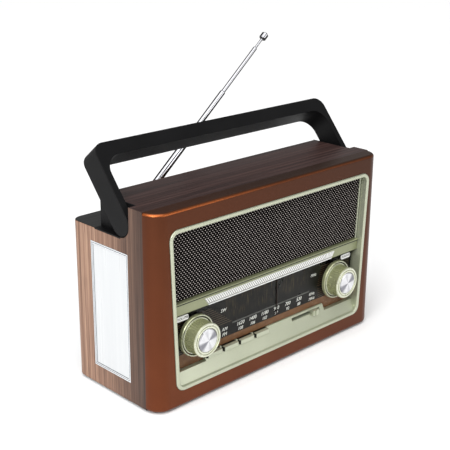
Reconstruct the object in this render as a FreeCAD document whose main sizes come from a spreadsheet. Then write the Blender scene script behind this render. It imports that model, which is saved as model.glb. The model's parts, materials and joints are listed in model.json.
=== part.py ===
import FreeCAD, Part
import os
import re
import Sketcher
from FreeCAD import Placement, Rotation, Vector

# Portable mains-free radio with a folding handle, a side lamp and a telescopic antenna.
# Every sub-part is drawn from one datum: X from the middle of the case, Y back from the front face,
# Z up from the underside of the case. Each sub-part's Placement then moves the datum so that the row's
# origin is at the middle of the base, on the ground under the feet, with the front facing -Y.

doc = FreeCAD.newDocument("radio")

DIMENSIONS = [
    # case
    ("case_width", 240), ("case_height", 148), ("case_depth", 94), ("case_wall", 2.5),
    ("front_depth", 12.5), ("front_corner", 12), ("front_edge", 2.5), ("back_corner", 8),
    ("ledge_height", 124.2), ("ledge_width", 6), ("centre_back", 65.5), ("case_edge", 1),
    ("datum_depth", 48.3), ("foot_height", 1.5), ("foot_radius", 6),
    # handle
    ("pivot_depth", 36.3), ("pivot_height", 134), ("arm_thickness", 5.5), ("arm_radius", 9.15),
    ("bar_inner", 46.5), ("bar_outer", 57.5), ("handle_lean", 39.3), ("recess_gap", 0.35),
    ("bar_outer_corner", 9), ("bar_inner_corner", 13), ("pin_radius", 2.5), ("pin_clearance", 0.05),
    ("bracket_wall", 1), ("pin_length", 7.3), ("pin_inset", 2.2),
    # bezel, grille, rail and dial
    ("bezel_low", 12), ("bezel_high", 134.7), ("bezel_low_half", 102), ("bezel_high_half", 107.5),
    ("bezel_corner", 8), ("bezel_gap", 0.25), ("bezel_lip", 3), ("bezel_proud", 1), ("bezel_back", 11),
    ("rail_low", 68.4), ("rail_high", 78), ("rail_groove", 76.6), ("rail_front", 3), ("rail_half", 101.1),
    ("strip_half", 71.5), ("strip_slant", 4), ("strip_top", 74.5), ("strip_thickness", 0.8),
    ("grille_front", 5.6), ("sheet_metal", 1.2),
    ("dial_front", 9.2), ("dial_low", 23.7), ("dial_middle_low", 29.1),
    ("dial_step_left", -68.2), ("dial_step_right", 64.3), ("apron_foot", 1.2), ("apron_top", 8),
    ("window_front", 7), ("window_thickness", 1),
    ("label_low", 62.3), ("label_high", 66.3), ("label_inner", 84.4), ("label_outer", 95.8),
    ("label_thickness", 0.6), ("label_corner", 1.4),
    # knobs
    ("knob_offset", 77.6), ("knob_height", 47.6), ("knob_proud", 7.4), ("knob_front_radius", 12.9),
    ("knob_back", 6.6), ("flange_front", 4.1), ("cap_radius", 8.8),
    ("ring_radius", 15.8), ("ring_wall", 1.1), ("ring_front", 4),
    ("shaft_radius", 3), ("shaft_clearance", 0.08), ("rib_count", 40),
    # push buttons and band switch
    ("button_width", 14.4), ("button_height", 3.5), ("button_pitch", 16.8), ("button_first", -59.6),
    ("button_middle", 27.15), ("button_front", 4.4), ("button_back", 12.6),
    ("slot_gap", 0.45),
    ("slider_place", 51.3), ("slider_width", 6.5), ("slot_start", 26.2), ("slot_end", 59.6),
    ("slot_middle", 26.4), ("slot_height", 2.2),
    # side lamp
    ("lamp_front", 29), ("lamp_back", 70.5), ("lamp_low", 15.7), ("lamp_high", 113.4), ("lamp_rim", 2),
    ("lamp_depth", 10), ("lamp_lip", 0.8), ("lamp_groove", 0.5),
    # antenna
    ("aerial_place", -59.5), ("aerial_depth", 99), ("aerial_height", 111.2), ("aerial_angle", 40.6),
    ("tube_start", 6.4), ("tube_end", 86.3), ("second_end", 128), ("third_end", 176.6), ("rod_end", 189),
    ("tube_radius", 3), ("second_radius", 2.3), ("third_radius", 1.7), ("rod_radius", 1),
    ("tube_wall", 0.5), ("tip_radius", 3), ("tip_length", 5.5),
    # back and battery bay
    ("panel_half", 109.2), ("panel_low", 2.8), ("panel_high", 120.4), ("panel_thickness", 3),
    ("door_half", 65.6), ("door_low", 20.4), ("door_high", 59.6), ("door_thickness", 2), ("door_gap", 0.4),
    ("cell_radius", 16.6), ("cell_length", 60.5), ("tray_inside", 63.4), ("tray_outside", 67.5),
    ("contact_thickness", 0.5),
    # speaker
    ("speaker_place", -55), ("speaker_height", 107), ("speaker_radius", 33), ("speaker_front", 16.5),
    # posts, main board and ferrite rod
    ("post_radius", 2.5), ("board_front", 29), ("board_thickness", 1.6),
    ("ferrite_depth", 54), ("ferrite_height", 134), ("ferrite_radius", 4),
]

sheet = doc.addObject("Spreadsheet::Sheet", "Dims")
for row, (alias, value) in enumerate(DIMENSIONS, start=1):
    sheet.set("A%d" % row, alias)
    sheet.set("B%d" % row, str(value))
    sheet.setAlias("B%d" % row, alias)
doc.recompute()

NAMES = {alias for alias, _ in DIMENSIONS}
work = doc.addObject("Spreadsheet::Sheet", "Work")
subparts = []


def dim(alias):
    """A driving dimension as a number."""
    return float(sheet.get(alias))


def bound(text):
    """An expression in the sheet's aliases, as the document reads it."""
    return re.sub(r"[a-z_]+", lambda word: "Dims." + word[0] if word[0] in NAMES else word[0], str(text))


def values_of(texts):
    """The present values of expressions in the sheet's aliases, worked out in the cells of a spare sheet."""
    for row, text in enumerate(texts, start=1):
        work.set("A%d" % row, "=" + bound(text))
    work.recompute()
    return [float(work.get("A%d" % row)) for row in range(1, len(texts) + 1)]


def place(item, label, x="0", y="0", z="0", rotation=None):
    """Names a sub-part and moves it from the datum (or from its own centre x, y, z) into the row's frame."""
    if item.TypeId in ("Part::Box", "Part::Cylinder"):
        item.Label = label + "_solid"
        item = group(label + "_piece", item)
    item.Label = label
    item.Placement = Placement(Vector(), rotation or Rotation())
    item.setExpression("Placement.Base.x", bound(x))
    item.setExpression("Placement.Base.y", bound("(%s) - datum_depth" % y))
    item.setExpression("Placement.Base.z", bound("(%s) + foot_height" % z))
    subparts.append(item)


# ---------------------------------------------------------------- Part primitives and booleans

TURNS = {"x": Rotation(Vector(0, 1, 0), 90), "y": Rotation(Vector(1, 0, 0), -90), "z": Rotation()}


def box(name, x, y, z):
    """A block between two values along each axis."""
    item = doc.addObject("Part::Box", name)
    for size, axis, (low, high) in (("Length", "x", x), ("Width", "y", y), ("Height", "z", z)):
        item.setExpression(size, bound("(%s) - (%s)" % (high, low)))
        item.setExpression("Placement.Base." + axis, bound(low))
    return item


def cylinder(name, axis, radius, start, length):
    """A cylinder from the point start (x, y, z), along +axis."""
    item = doc.addObject("Part::Cylinder", name)
    item.Placement = Placement(Vector(), TURNS[axis])
    item.setExpression("Radius", bound(radius))
    item.setExpression("Height", bound(length))
    for letter, value in zip("xyz", start):
        item.setExpression("Placement.Base." + letter, bound(value))
    return item


def cone(name, axis, first, last, start, length):
    """A cone from radius first at start to radius last, along +axis."""
    item = doc.addObject("Part::Cone", name)
    item.Placement = Placement(Vector(), TURNS[axis])
    item.setExpression("Radius1", bound(first))
    item.setExpression("Radius2", bound(last))
    item.setExpression("Height", bound(length))
    for letter, value in zip("xyz", start):
        item.setExpression("Placement.Base." + letter, bound(value))
    return item


def fuse(name, *items):
    item = doc.addObject("Part::MultiFuse", name)
    item.Shapes = list(items)
    item.Refine = True
    return item


def cut(name, base, *tools):
    item = doc.addObject("Part::Cut", name)
    item.Base = base
    item.Tool = tools[0] if len(tools) == 1 else fuse(name + "_tools", *tools)
    item.Refine = True
    return item


def group(name, *items):
    """Separate solids in one node."""
    item = doc.addObject("Part::Compound", name)
    item.Links = list(items)
    return item


# ---------------------------------------------------------------- PartDesign helpers


def new_body(name):
    return doc.addObject("PartDesign::Body", name)


def origin_item(body, role):
    return next(item for item in body.Origin.OriginFeatures if item.Role == role)


def new_sketch(body, name, role, offset="0"):
    """A sketch on one of the body's planes, moved along the plane's normal by offset."""
    sketch = body.newObject("Sketcher::SketchObject", name)
    sketch.AttachmentSupport = [(origin_item(body, role), "")]
    sketch.MapMode = "FlatFace"
    sketch.setExpression("AttachmentOffset.Base.z", bound(offset))
    return sketch


def outline(body, name, role, points, offset="0"):
    """A closed outline of straight lines, with each corner held by two dimensions from the sheet."""
    sketch = new_sketch(body, name, role, offset)
    flat = values_of([value for point in points for value in point])
    values = list(zip(flat[0::2], flat[1::2]))
    count = len(points)
    for index in range(count):
        start = Vector(*values[index], 0)
        end = Vector(*values[(index + 1) % count], 0)
        sketch.addGeometry(Part.LineSegment(start, end), False)
    for index in range(count):
        sketch.addConstraint(Sketcher.Constraint("Coincident", index, 2, (index + 1) % count, 1))
    for index, point in enumerate(points):
        for kind, value, text in zip(("DistanceX", "DistanceY"), values[index], point):
            number = sketch.addConstraint(Sketcher.Constraint(kind, -1, 1, index, 1, value))
            sketch.setExpression("Constraints[%d]" % number, bound(text))
    return sketch


def rectangle(body, name, role, across, up, offset="0"):
    (left, right), (low, high) = across, up
    return outline(body, name, role, [(left, low), (right, low), (right, high), (left, high)], offset)


def circle(body, name, role, centre, radius, offset="0"):
    """A circle held by its centre's two dimensions and its radius."""
    sketch = new_sketch(body, name, role, offset)
    numbers = values_of((*centre, radius))
    sketch.addGeometry(Part.Circle(Vector(numbers[0], numbers[1], 0), Vector(0, 0, 1), numbers[2]), False)
    for kind, value, text in zip(("DistanceX", "DistanceY"), numbers, centre):
        number = sketch.addConstraint(Sketcher.Constraint(kind, -1, 1, 0, 3, value))
        sketch.setExpression("Constraints[%d]" % number, bound(text))
    number = sketch.addConstraint(Sketcher.Constraint("Radius", 0, numbers[2]))
    sketch.setExpression("Constraints[%d]" % number, bound(radius))
    return sketch


def extrude(body, kind, sketch, length, backwards=False):
    """A Pad along the sketch's normal, or a Pocket along it; backwards turns either round."""
    before = body.Tip.Shape.Volume if body.Tip else 0
    item = body.newObject("PartDesign::" + kind, sketch.Name + "_" + kind.lower())
    item.Profile = sketch
    item.setExpression("Length", bound(length))
    item.Reversed = backwards if kind == "Pad" else not backwards
    body.Tip = item
    doc.recompute()
    volume = item.Shape.Volume
    if (kind == "Pocket" and volume >= before - 1e-6) or (kind == "Pad" and volume <= before + 1e-6):
        raise RuntimeError("%s of %s changes nothing" % (kind, sketch.Name))
    return item


def block(body, kind, name, x, y, z):
    """A Pad or Pocket the shape of a block between two values along each axis."""
    sketch = rectangle(body, name, "XY_Plane", x, y, z[0])
    return extrude(body, kind, sketch, "(%s) - (%s)" % (z[1], z[0]))


def revolve(body, name, role, points, axis):
    """A solid of revolution of an outline round one of the body's axes."""
    item = body.newObject("PartDesign::Revolution", name)
    item.Profile = outline(body, name + "_profile", role, points)
    item.ReferenceAxis = (origin_item(body, axis), [""])
    item.Angle = 360
    body.Tip = item
    doc.recompute()
    return item


def round_edges(body, name, radius, pick):
    """Rounds the edges of the body's last feature that pick accepts, given their two end points."""
    doc.recompute()
    base = body.Tip
    names = []
    for number, edge in enumerate(base.Shape.Edges, start=1):
        ends = [vertex.Point for vertex in edge.Vertexes]
        if len(ends) == 2 and pick(*ends):
            names.append("Edge%d" % number)
    item = body.newObject("PartDesign::Fillet", name)
    item.Base = (base, names)
    item.setExpression("Radius", bound(radius))
    body.Tip = item
    doc.recompute()
    if not names or "Invalid" in item.State or not item.Shape.isValid():
        raise RuntimeError("%s rounds %d edges and fails" % (name, len(names)))
    return item


def near(value, target):
    return abs(value - target) < 0.01


def both(a, b, axis, target):
    """True where both ends of an edge lie at the target value along an axis."""
    return near(getattr(a, axis), target) and near(getattr(b, axis), target)


def along(a, b, axis):
    """True for an edge that runs along one axis."""
    return all(near(getattr(a, other), getattr(b, other)) for other in "xyz" if other != axis)


# ---------------------------------------------------------------- case

BOSS_PLACES = [("-105", "6"), ("105", "6"), ("-105", "117"), ("105", "117")]
BOSS_RADIUS = "4"
SCREW_RADIUS = "1.5"
SCREW_LENGTH = "14"
HANGER_SPANS = [("-42", "-39"), ("36", "39")]


def cabinet_shell():
    """Wood-look case: closed on the sides, top and bottom, open at the front and back, with a stepped top."""
    body = new_body("cabinet_shell")
    half, ledge = "case_width / 2", "ledge_height"
    recess_front = "pivot_depth - arm_radius - recess_gap"
    block(body, "Pad", "shell_block", ("-" + half, half), ("front_depth", "case_depth"), ("0", "case_height"))
    round_edges(body, "back_corners", "back_corner",
                lambda a, b: along(a, b, "z") and both(a, b, "y", dim("case_depth")))
    block(body, "Pocket", "back_step", ("-%s - 1" % half, half + " + 1"),
          ("centre_back", "case_depth + 1"), (ledge, "case_height + 1"))
    for side, sign in (("left", -1), ("right", 1)):
        inner = "%d * (%s - ledge_width)" % (sign, half)
        outer = "%d * (%s + 1)" % (sign, half)
        ends = (outer, inner) if sign < 0 else (inner, outer)
        block(body, "Pocket", side + "_recess", ends, (recess_front, "centre_back + 1"),
              (ledge, "case_height + 1"))
        round_edges(body, side + "_recess_corner", "arm_radius + recess_gap",
                    lambda a, b: along(a, b, "x") and both(a, b, "z", dim("ledge_height")) and a.x * sign > 0
                    and both(a, b, "y", dim("pivot_depth") - dim("arm_radius") - dim("recess_gap")))
        wall = "%d * (%s - ledge_width - bracket_wall)" % (sign, half)
        slot = (inner, wall) if sign < 0 else (wall, inner)
        block(body, "Pocket", side + "_bracket_slot", slot, (recess_front, "centre_back"),
              (ledge + " - bracket_wall", "case_height + 1"))
        block(body, "Pocket", side + "_floor_slot", ends, ("pivot_depth", "centre_back"),
              (ledge + " - bracket_wall", ledge + " + 0.5"))
    inside = half + " - case_wall"
    ceiling = ledge + " - bracket_wall - case_wall"
    centre = half + " - ledge_width - bracket_wall - case_wall"
    block(body, "Pocket", "main_cavity", ("-(%s)" % inside, inside), ("front_depth - 1", "case_depth - 10"),
          ("case_wall", ceiling))
    block(body, "Pocket", "back_opening", ("-(panel_half + bezel_gap)", "panel_half + bezel_gap"),
          ("case_depth - 11", "case_depth + 1"), ("panel_low - bezel_gap", "panel_high + bezel_gap"))
    block(body, "Pocket", "upper_cavity", ("-(%s)" % centre, centre),
          ("front_depth - 1", "centre_back - case_wall"), (ceiling + " - 1", "case_height - case_wall"))
    block(body, "Pocket", "front_cavity", ("-(%s)" % inside, inside),
          ("front_depth - 1", recess_front + " - case_wall"), (ceiling + " - 1", "case_height - case_wall"))
    block(body, "Pocket", "lamp_opening", ("-%s - 1" % half, "-(%s) + 1" % inside),
          ("lamp_front - 0.2", "lamp_back + 0.2"), ("lamp_low - 0.2", "lamp_high + 0.2"))
    for index, (x, z) in enumerate(BOSS_PLACES):
        post = circle(body, "boss_%d" % index, "XZ_Plane", (x, z), BOSS_RADIUS, "-front_depth")
        extrude(body, "Pad", post, "case_depth - panel_thickness - front_depth", backwards=True)
    for index, (x, z) in enumerate(BOSS_PLACES):
        pilot = circle(body, "pilot_%d" % index, "XZ_Plane", (x, z), SCREW_RADIUS,
                       "-(case_depth - panel_thickness) + %s" % SCREW_LENGTH)
        extrude(body, "Pocket", pilot, SCREW_LENGTH + " + 1", backwards=True)
    for side, sign in (("left", -1), ("right", 1)):
        start = "%d * (%s - ledge_width - bracket_wall - case_wall / 2) - case_wall" % (sign, half)
        hole = circle(body, side + "_pin_bore", "YZ_Plane", ("pivot_depth", "pivot_height"), "pin_radius",
                      start)
        extrude(body, "Pocket", hole, "2 * case_wall")
    for index, (start, end) in enumerate(HANGER_SPANS):
        block(body, "Pad", "rod_hanger_%d" % index, (start, end), ("ferrite_depth - 2", "ferrite_depth + 2"),
              ("ferrite_height + ferrite_radius", "case_height - case_wall / 2"))
    width, top = dim("case_width") / 2, dim("ledge_height")
    round_edges(body, "soft_edges", "case_edge",
                lambda a, b: (along(a, b, "x") and both(a, b, "z", dim("case_height"))
                              and both(a, b, "y", dim("centre_back")))
                or (along(a, b, "y") and both(a, b, "z", 0) and both(abs_x(a), abs_x(b), "x", width))
                or (both(a, b, "z", top) and both(a, b, "y", dim("case_depth"))))
    place(body, "cabinet_shell")


def around(middle, reach):
    """The two ends of a span that reaches equally far both ways."""
    return "%s - (%s)" % (middle, reach), "%s + (%s)" % (middle, reach)


def abs_x(point):
    return Vector(abs(point.x), point.y, point.z)


def bezel_corners(grow):
    """The four corners of the front opening, moved outwards by grow."""
    low, high = "bezel_low - (%s)" % grow, "bezel_high + (%s)" % grow
    wide, narrow = "bezel_high_half + (%s)" % grow, "bezel_low_half + (%s)" % grow
    return [("-(%s)" % narrow, low), (narrow, low), (wide, high), ("-(%s)" % wide, high)]


def front_frame():
    """Copper-brown front shell, rounded in plan at its two front corners, with an opening for the bezel."""
    body = new_body("front_frame")
    half = "case_width / 2"
    block(body, "Pad", "frame_block", ("-" + half, half), ("0", "front_depth"), ("0", "case_height"))
    round_edges(body, "front_corners", "front_corner", lambda a, b: along(a, b, "z") and both(a, b, "y", 0))
    round_edges(body, "front_edges", "front_edge",
                lambda a, b: along(a, b, "x") and both(a, b, "y", 0))
    inside, slant = half + " - case_wall", "front_corner / 2"
    side = [(inside, "front_depth + 1"), (inside, "case_wall + " + slant),
            (inside + " - " + slant, "case_wall")]
    mirrored = [("-(%s)" % x, y) for x, y in reversed(side)]
    cavity = outline(body, "frame_cavity", "XY_Plane", side + mirrored, "case_wall")
    extrude(body, "Pocket", cavity, "case_height - 2 * case_wall")
    opening = outline(body, "bezel_opening", "XZ_Plane", bezel_corners("0"), "1")
    extrude(body, "Pocket", opening, "case_wall + 2", backwards=True)
    round_edges(body, "opening_corners", "bezel_corner",
                lambda a, b: along(a, b, "y") and abs(a.y - b.y) > dim("case_wall") - 0.1
                and near(min(abs(a.z - dim("bezel_low")), abs(a.z - dim("bezel_high"))), 0))
    for side, sign in (("left", -1), ("right", 1)):
        post = circle(body, side + "_speaker_post", "XZ_Plane",
                      ("speaker_place + %d * (speaker_radius - 4.5)" % sign,
                       "speaker_height + speaker_radius - 2"),
                      "2", "-case_wall + 0.5")
        extrude(body, "Pad", post, "speaker_front - case_wall + 0.5", backwards=True)
    place(body, "front_frame")


def bezel():
    """Surround with a raised lip, a deep recess and an apron that slopes from the dial out to the lip."""
    body = new_body("bezel")
    outer = outline(body, "bezel_outer", "XZ_Plane", bezel_corners("-bezel_gap"), "bezel_proud")
    extrude(body, "Pad", outer, "bezel_proud + bezel_back", backwards=True)
    round_edges(body, "bezel_outer_corners", "bezel_corner - bezel_gap",
                lambda a, b: along(a, b, "y") and abs(a.y - b.y) > dim("bezel_back"))
    inner = outline(body, "bezel_inner", "XZ_Plane", bezel_corners("-bezel_gap - bezel_lip"),
                    "bezel_proud + 1")
    extrude(body, "Pocket", inner, "bezel_proud + bezel_back + 2", backwards=True)
    low = dim("bezel_low") + dim("bezel_gap") + dim("bezel_lip")
    high = dim("bezel_high") - dim("bezel_gap") - dim("bezel_lip")
    round_edges(body, "bezel_inner_corners", "bezel_corner - bezel_gap - bezel_lip",
                lambda a, b: along(a, b, "y") and (both(a, b, "z", low) or both(a, b, "z", high))
                and abs(a.x) > dim("bezel_low_half") - 6)
    round_edges(body, "lip_rounding", "0.9", lambda a, b: both(a, b, "y", -dim("bezel_proud")))
    floor = "bezel_low + bezel_gap + bezel_lip - 0.5"
    wide = "(bezel_low_half - bezel_gap - bezel_lip + 0.4)"
    slope = "(apron_top - apron_foot) / (dial_middle_low - (%s))" % floor
    shelf = "apron_foot + (dial_low - (%s)) * %s" % (floor, slope)
    for name, ends, top, rim in (("apron", ("-" + wide, wide), "dial_low", shelf),
                                 ("raised_apron", ("dial_step_left", "dial_step_right"), "dial_middle_low",
                                  "apron_top")):
        profile = outline(body, name, "YZ_Plane",
                          [("apron_foot", floor), ("bezel_back", floor), ("bezel_back", top), (rim, top)],
                          ends[0])
        extrude(body, "Pad", profile, "(%s) - (%s)" % (ends[1], ends[0]))
    for side in ("-", ""):
        post = circle(body, "board_post" + ("_left" if side else "_right"), "XZ_Plane", (side + "93", "18"),
                      "post_radius", "-bezel_back + 0.5")
        extrude(body, "Pad", post, "board_front - bezel_back + 0.5", backwards=True)
    for index in range(4):
        middle = "button_first + %d * button_pitch" % index
        reach = "button_width / 2 + slot_gap"
        block(body, "Pocket", "button_slot_%d" % index,
              ("%s - (%s)" % (middle, reach), "%s + %s" % (middle, reach)), ("0", "bezel_back + 1"),
              ("button_middle - button_height / 2 - slot_gap", "dial_middle_low + 1"))
    block(body, "Pocket", "band_slot", ("slot_start", "slot_end"), ("0", "bezel_back + 1"),
          ("slot_middle - slot_height / 2", "slot_middle + slot_height / 2"))
    place(body, "bezel")


def feet():
    spots = [(x, y) for x in ("-98", "98") for y in ("22", "80")]
    items = [cylinder("foot_%d" % i, "z", "foot_radius", (x, y, "-foot_height"), "foot_height")
             for i, (x, y) in enumerate(spots)]
    place(group("rubber_feet", *items), "rubber_feet")


# ---------------------------------------------------------------- grille, rail and dial


def inner_half(height):
    """Half the width of the bezel's recess at a height, less a small gap."""
    slope = "(bezel_high_half - bezel_low_half) / (bezel_high - bezel_low)"
    return "(bezel_low_half + (%s - bezel_low) * %s - bezel_gap - bezel_lip - 0.15)" % (height, slope)


def flat_panel(name, points, front, thickness):
    """A sheet parallel to the front face."""
    body = new_body(name)
    extrude(body, "Pad", outline(body, name + "_outline", "XZ_Plane", points, "-(%s)" % front), thickness,
            backwards=True)
    return body


def grille():
    top = "bezel_high - bezel_gap - bezel_lip - 0.15"
    low, high = inner_half("rail_high"), inner_half("(%s)" % top)
    corner = "bezel_corner - bezel_lip"
    side = [(low, "rail_high"), (high, top + " - (%s)" % corner), (high + " - (%s)" % corner, top)]
    points = side + [("-(%s)" % x, z) for x, z in reversed(side)]
    place(flat_panel("speaker_grille", points, "grille_front", "sheet_metal"), "speaker_grille")


SPEAKER_POST_X = "speaker_place - speaker_radius + 4.5"


def rail():
    """Bar between the grille and the dial, with a groove along it, and the silver strip that it carries."""
    body = new_body("mid_rail")
    back, seat = "window_front + window_thickness", "rail_front + strip_thickness"
    profile = outline(body, "rail_profile", "YZ_Plane",
                      [(seat + " + 0.4", "rail_low"), (back, "rail_low"), (back, "rail_high"),
                       ("rail_front + 0.5", "rail_high"), ("rail_front", "rail_high - 0.5"),
                       ("rail_front", "rail_groove + 0.5"), ("rail_front + 2", "rail_groove + 0.4"),
                       ("rail_front + 2", "rail_groove - 0.4"), (seat, "rail_groove - 0.5"),
                       (seat, "rail_low + 0.5")], "-rail_half")
    extrude(body, "Pad", profile, "2 * rail_half")
    post = circle(body, "speaker_post", "XZ_Plane", (SPEAKER_POST_X, "rail_high - 1.7"), "post_radius",
                  "-(%s) + 0.5" % back)
    extrude(body, "Pad", post, "speaker_front - (%s) + 0.5" % back, backwards=True)
    place(body, "mid_rail")
    low, high = "rail_low + 0.5", "strip_top"
    points = [("-strip_half + strip_slant", low), ("strip_half - strip_slant", low), ("strip_half", high),
              ("-strip_half", high)]
    place(flat_panel("ribbed_strip", points, "rail_front", "strip_thickness"), "ribbed_strip")


def dial_outline(top):
    low_half, high_half = inner_half("dial_low"), inner_half(top)
    return [("-" + low_half, "dial_low"), ("dial_step_left", "dial_low"),
            ("dial_step_left", "dial_middle_low"), ("dial_step_right", "dial_middle_low"),
            ("dial_step_right", "dial_low"), (low_half, "dial_low"),
            (high_half, top), ("-" + high_half, top)]


def dial():
    """Printed plate and the clear window in front of it, both pierced for the two shafts."""
    for name, front, thickness in (("dial_plate", "dial_front", "1"),
                                   ("dial_window", "window_front", "window_thickness")):
        body = flat_panel(name, dial_outline("rail_low"), front, thickness)
        for side in ("-", ""):
            hole = circle(body, name + ("_left" if side else "_right") + "_hole", "XZ_Plane",
                          (side + "knob_offset", "knob_height"), "shaft_radius + 1", "-(%s) + 1" % front)
            extrude(body, "Pocket", hole, thickness + " + 2", backwards=True)
        place(body, name)


def pointer():
    """Needle between the plate and the window, on a carriage that slides along a guide rod."""
    needle = box("needle", ("9.6", "10.4"), ("8.3", "8.8"), ("35", "rail_low + 1.6"))
    arm = box("needle_arm", ("9", "11"), ("8.3", "12"), ("rail_low + 0.5", "rail_low + 1.6"))
    block_item = box("carriage", ("6", "14"), ("11.4", "15"), ("rail_low + 0.5", "rail_low + 6.5"))
    bore = cylinder("carriage_bore", "x", "0.88", ("5", "13.2", "rail_low + 3.8"), "10")
    place(cut("dial_pointer", fuse("pointer_solid", needle, arm, block_item), bore), "dial_pointer")
    rod = cylinder("pointer_guide_rod", "x", "0.8", ("-62", "13.2", "rail_low + 3.8"), "124")
    place(rod, "pointer_guide_rod")


def label_plates():
    """Small rounded tablets stuck on the window above the knobs."""
    points = [("label_inner", "label_low"), ("label_outer", "label_low"), ("label_outer", "label_high"),
              ("label_inner", "label_high")]
    mirrored = [("-" + x, z) for x, z in reversed(points)]
    for name, shape in (("volume_label_plate", mirrored), ("tuning_label_plate", points)):
        tablet = flat_panel(name, shape, "window_front - label_thickness", "label_thickness")
        round_edges(tablet, name + "_corners", "label_corner", lambda a, b: along(a, b, "y"))
        place(tablet, name)


# ---------------------------------------------------------------- knobs and their shafts

KNOB_FACE = "-(knob_proud - 1)"
DISH_FLOOR = "-(knob_proud - 1.6)"


def knob(name):
    """Ribbed knob with a front ring, a dish for its metal cap and a blind bore for its shaft."""
    body = new_body(name)
    ring, dish, groove = "knob_front_radius", "cap_radius + 0.1", "cap_radius + 1.8"
    flange, face = ring + " + 0.9", KNOB_FACE
    front_ring = [(dish, DISH_FLOOR), (dish + " + 0.3", face), (groove + " - 0.3", face),
                  (groove, face + " + 0.5"), (groove + " + 0.3", face + " + 0.5"), (groove + " + 0.6", face),
                  (ring + " - 0.6", face), (ring, face + " + 0.6"), (ring, face + " + 1.9")]
    skirt = [(ring + " - 1", face + " + 2.5"), (ring + " - 0.2", "flange_front"),
             (flange + " - 0.3", "flange_front"), (flange, "flange_front + 0.3"), (flange, "knob_back")]
    bore = [("shaft_radius", "knob_back"), ("shaft_radius", "0"), ("0", "0")]
    revolve(body, name + "_turned", "XY_Plane", [("0", DISH_FLOOR)] + front_ring + skirt + bore, "Y_Axis")
    rib = outline(body, name + "_rib", "XY_Plane",
                  [(ring + " - 1.6", face + " + 2.2"), (ring + " - 0.6", face + " + 2.2"),
                   (ring + " + 0.3", "flange_front + 0.1"), (ring + " - 0.8", "flange_front + 0.1")], "-0.3")
    pad = extrude(body, "Pad", rib, "0.6")
    pattern = body.newObject("PartDesign::PolarPattern", name + "_ribs")
    pattern.Originals = [pad]
    pattern.Axis = (origin_item(body, "Y_Axis"), [""])
    pattern.Angle = 360
    pattern.Occurrences = int(dim("rib_count"))
    body.Tip = pattern
    doc.recompute()
    return body


def knob_cap(name):
    """Spun metal disc with a shallow dome, seated in the knob's dish."""
    body = new_body(name)
    revolve(body, name + "_turned", "XY_Plane",
            [("0", "-knob_proud"), ("cap_radius * 0.5", "-knob_proud + 0.1"),
             ("cap_radius - 0.8", "-knob_proud + 0.4"), ("cap_radius", "-knob_proud + 0.9"),
             ("cap_radius", DISH_FLOOR), ("0", DISH_FLOOR)], "Y_Axis")
    return body


def trim_ring(name):
    body = new_body(name)
    revolve(body, name + "_turned", "XY_Plane",
            [("ring_radius - ring_wall", "window_front"), ("ring_radius - ring_wall", "ring_front + 0.3"),
             ("ring_radius - ring_wall + 0.3", "ring_front"), ("ring_radius - 0.4", "ring_front"),
             ("ring_radius", "ring_front + 0.6"), ("ring_radius", "window_front")], "Y_Axis")
    return body


def knobs():
    for word, side in (("volume", "-knob_offset"), ("tuning", "knob_offset")):
        at = {"x": side, "z": "knob_height"}
        place(knob(word + "_knob"), word + "_knob", **at)
        place(knob_cap(word + "_knob_cap"), word + "_knob_cap", **at)
        place(trim_ring(word + "_ring"), word + "_ring", **at)
        place(cylinder_body(word + "_shaft", "shaft_radius", "0", "27.5"), word + "_shaft", **at)
        block_item = box(word + "_block", ("-9", "9"), ("19", "board_front"), ("-9", "9"))
        bush = cylinder(word + "_bush", "y", "shaft_radius + 1.6", ("0", "11.5", "0"), "8")
        housing = fuse(word + "_housing", block_item, bush)
        bore = cylinder(word + "_bore", "y", "shaft_radius + shaft_clearance", ("0", "10", "0"), "18")
        label = "volume_pot" if word == "volume" else "tuning_capacitor"
        place(cut(label, housing, bore), label, **at)


def cylinder_body(name, radius, start, length):
    """A plain turned piece along Y."""
    body = new_body(name)
    ring = circle(body, name + "_circle", "XZ_Plane", ("0", "0"), radius, "-(%s)" % start)
    extrude(body, "Pad", ring, length, backwards=True)
    return body


# ---------------------------------------------------------------- buttons and band switch

BUTTONS = ["power_button", "mode_button", "previous_button", "next_button"]
SWITCH_FRONT = "13.8"
SWITCH_HALF = 3
BUTTON_BOARD_FRONT = "17.8"


def buttons():
    """Push buttons, each with a flange behind the apron that keeps it in, and the switches behind them."""
    switches = []
    for index, name in enumerate(BUTTONS):
        body = new_body(name)
        middle = "button_first + %d * button_pitch" % index
        half, rise = "button_width / 2", "button_height / 2 - 0.15"
        low, high = "button_middle - button_height / 2", "button_middle + " + rise
        block(body, "Pad", name + "_cap", (middle + " - " + half, middle + " + " + half),
              ("button_front", "button_back"), (low, high))
        round_edges(body, name + "_rounding", "0.5", lambda a, b: both(a, b, "y", dim("button_front")))
        block(body, "Pad", name + "_flange",
              (middle + " - " + half + " - 0.9", middle + " + " + half + " + 0.9"),
              ("bezel_back + 0.3", "button_back"), (low + " - 1", high + " + 0.8"))
        place(body, name)
        switches.append(box("switch_%d" % index, around(middle, SWITCH_HALF),
                            (SWITCH_FRONT, BUTTON_BOARD_FRONT), around("button_middle", SWITCH_HALF)))
    place(group("tact_switches", *switches), "tact_switches")
    board_back = BUTTON_BOARD_FRONT + " + board_thickness"
    place(box("button_board", ("-70", "66"), (BUTTON_BOARD_FRONT, board_back), ("18", "33")), "button_board")


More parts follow.
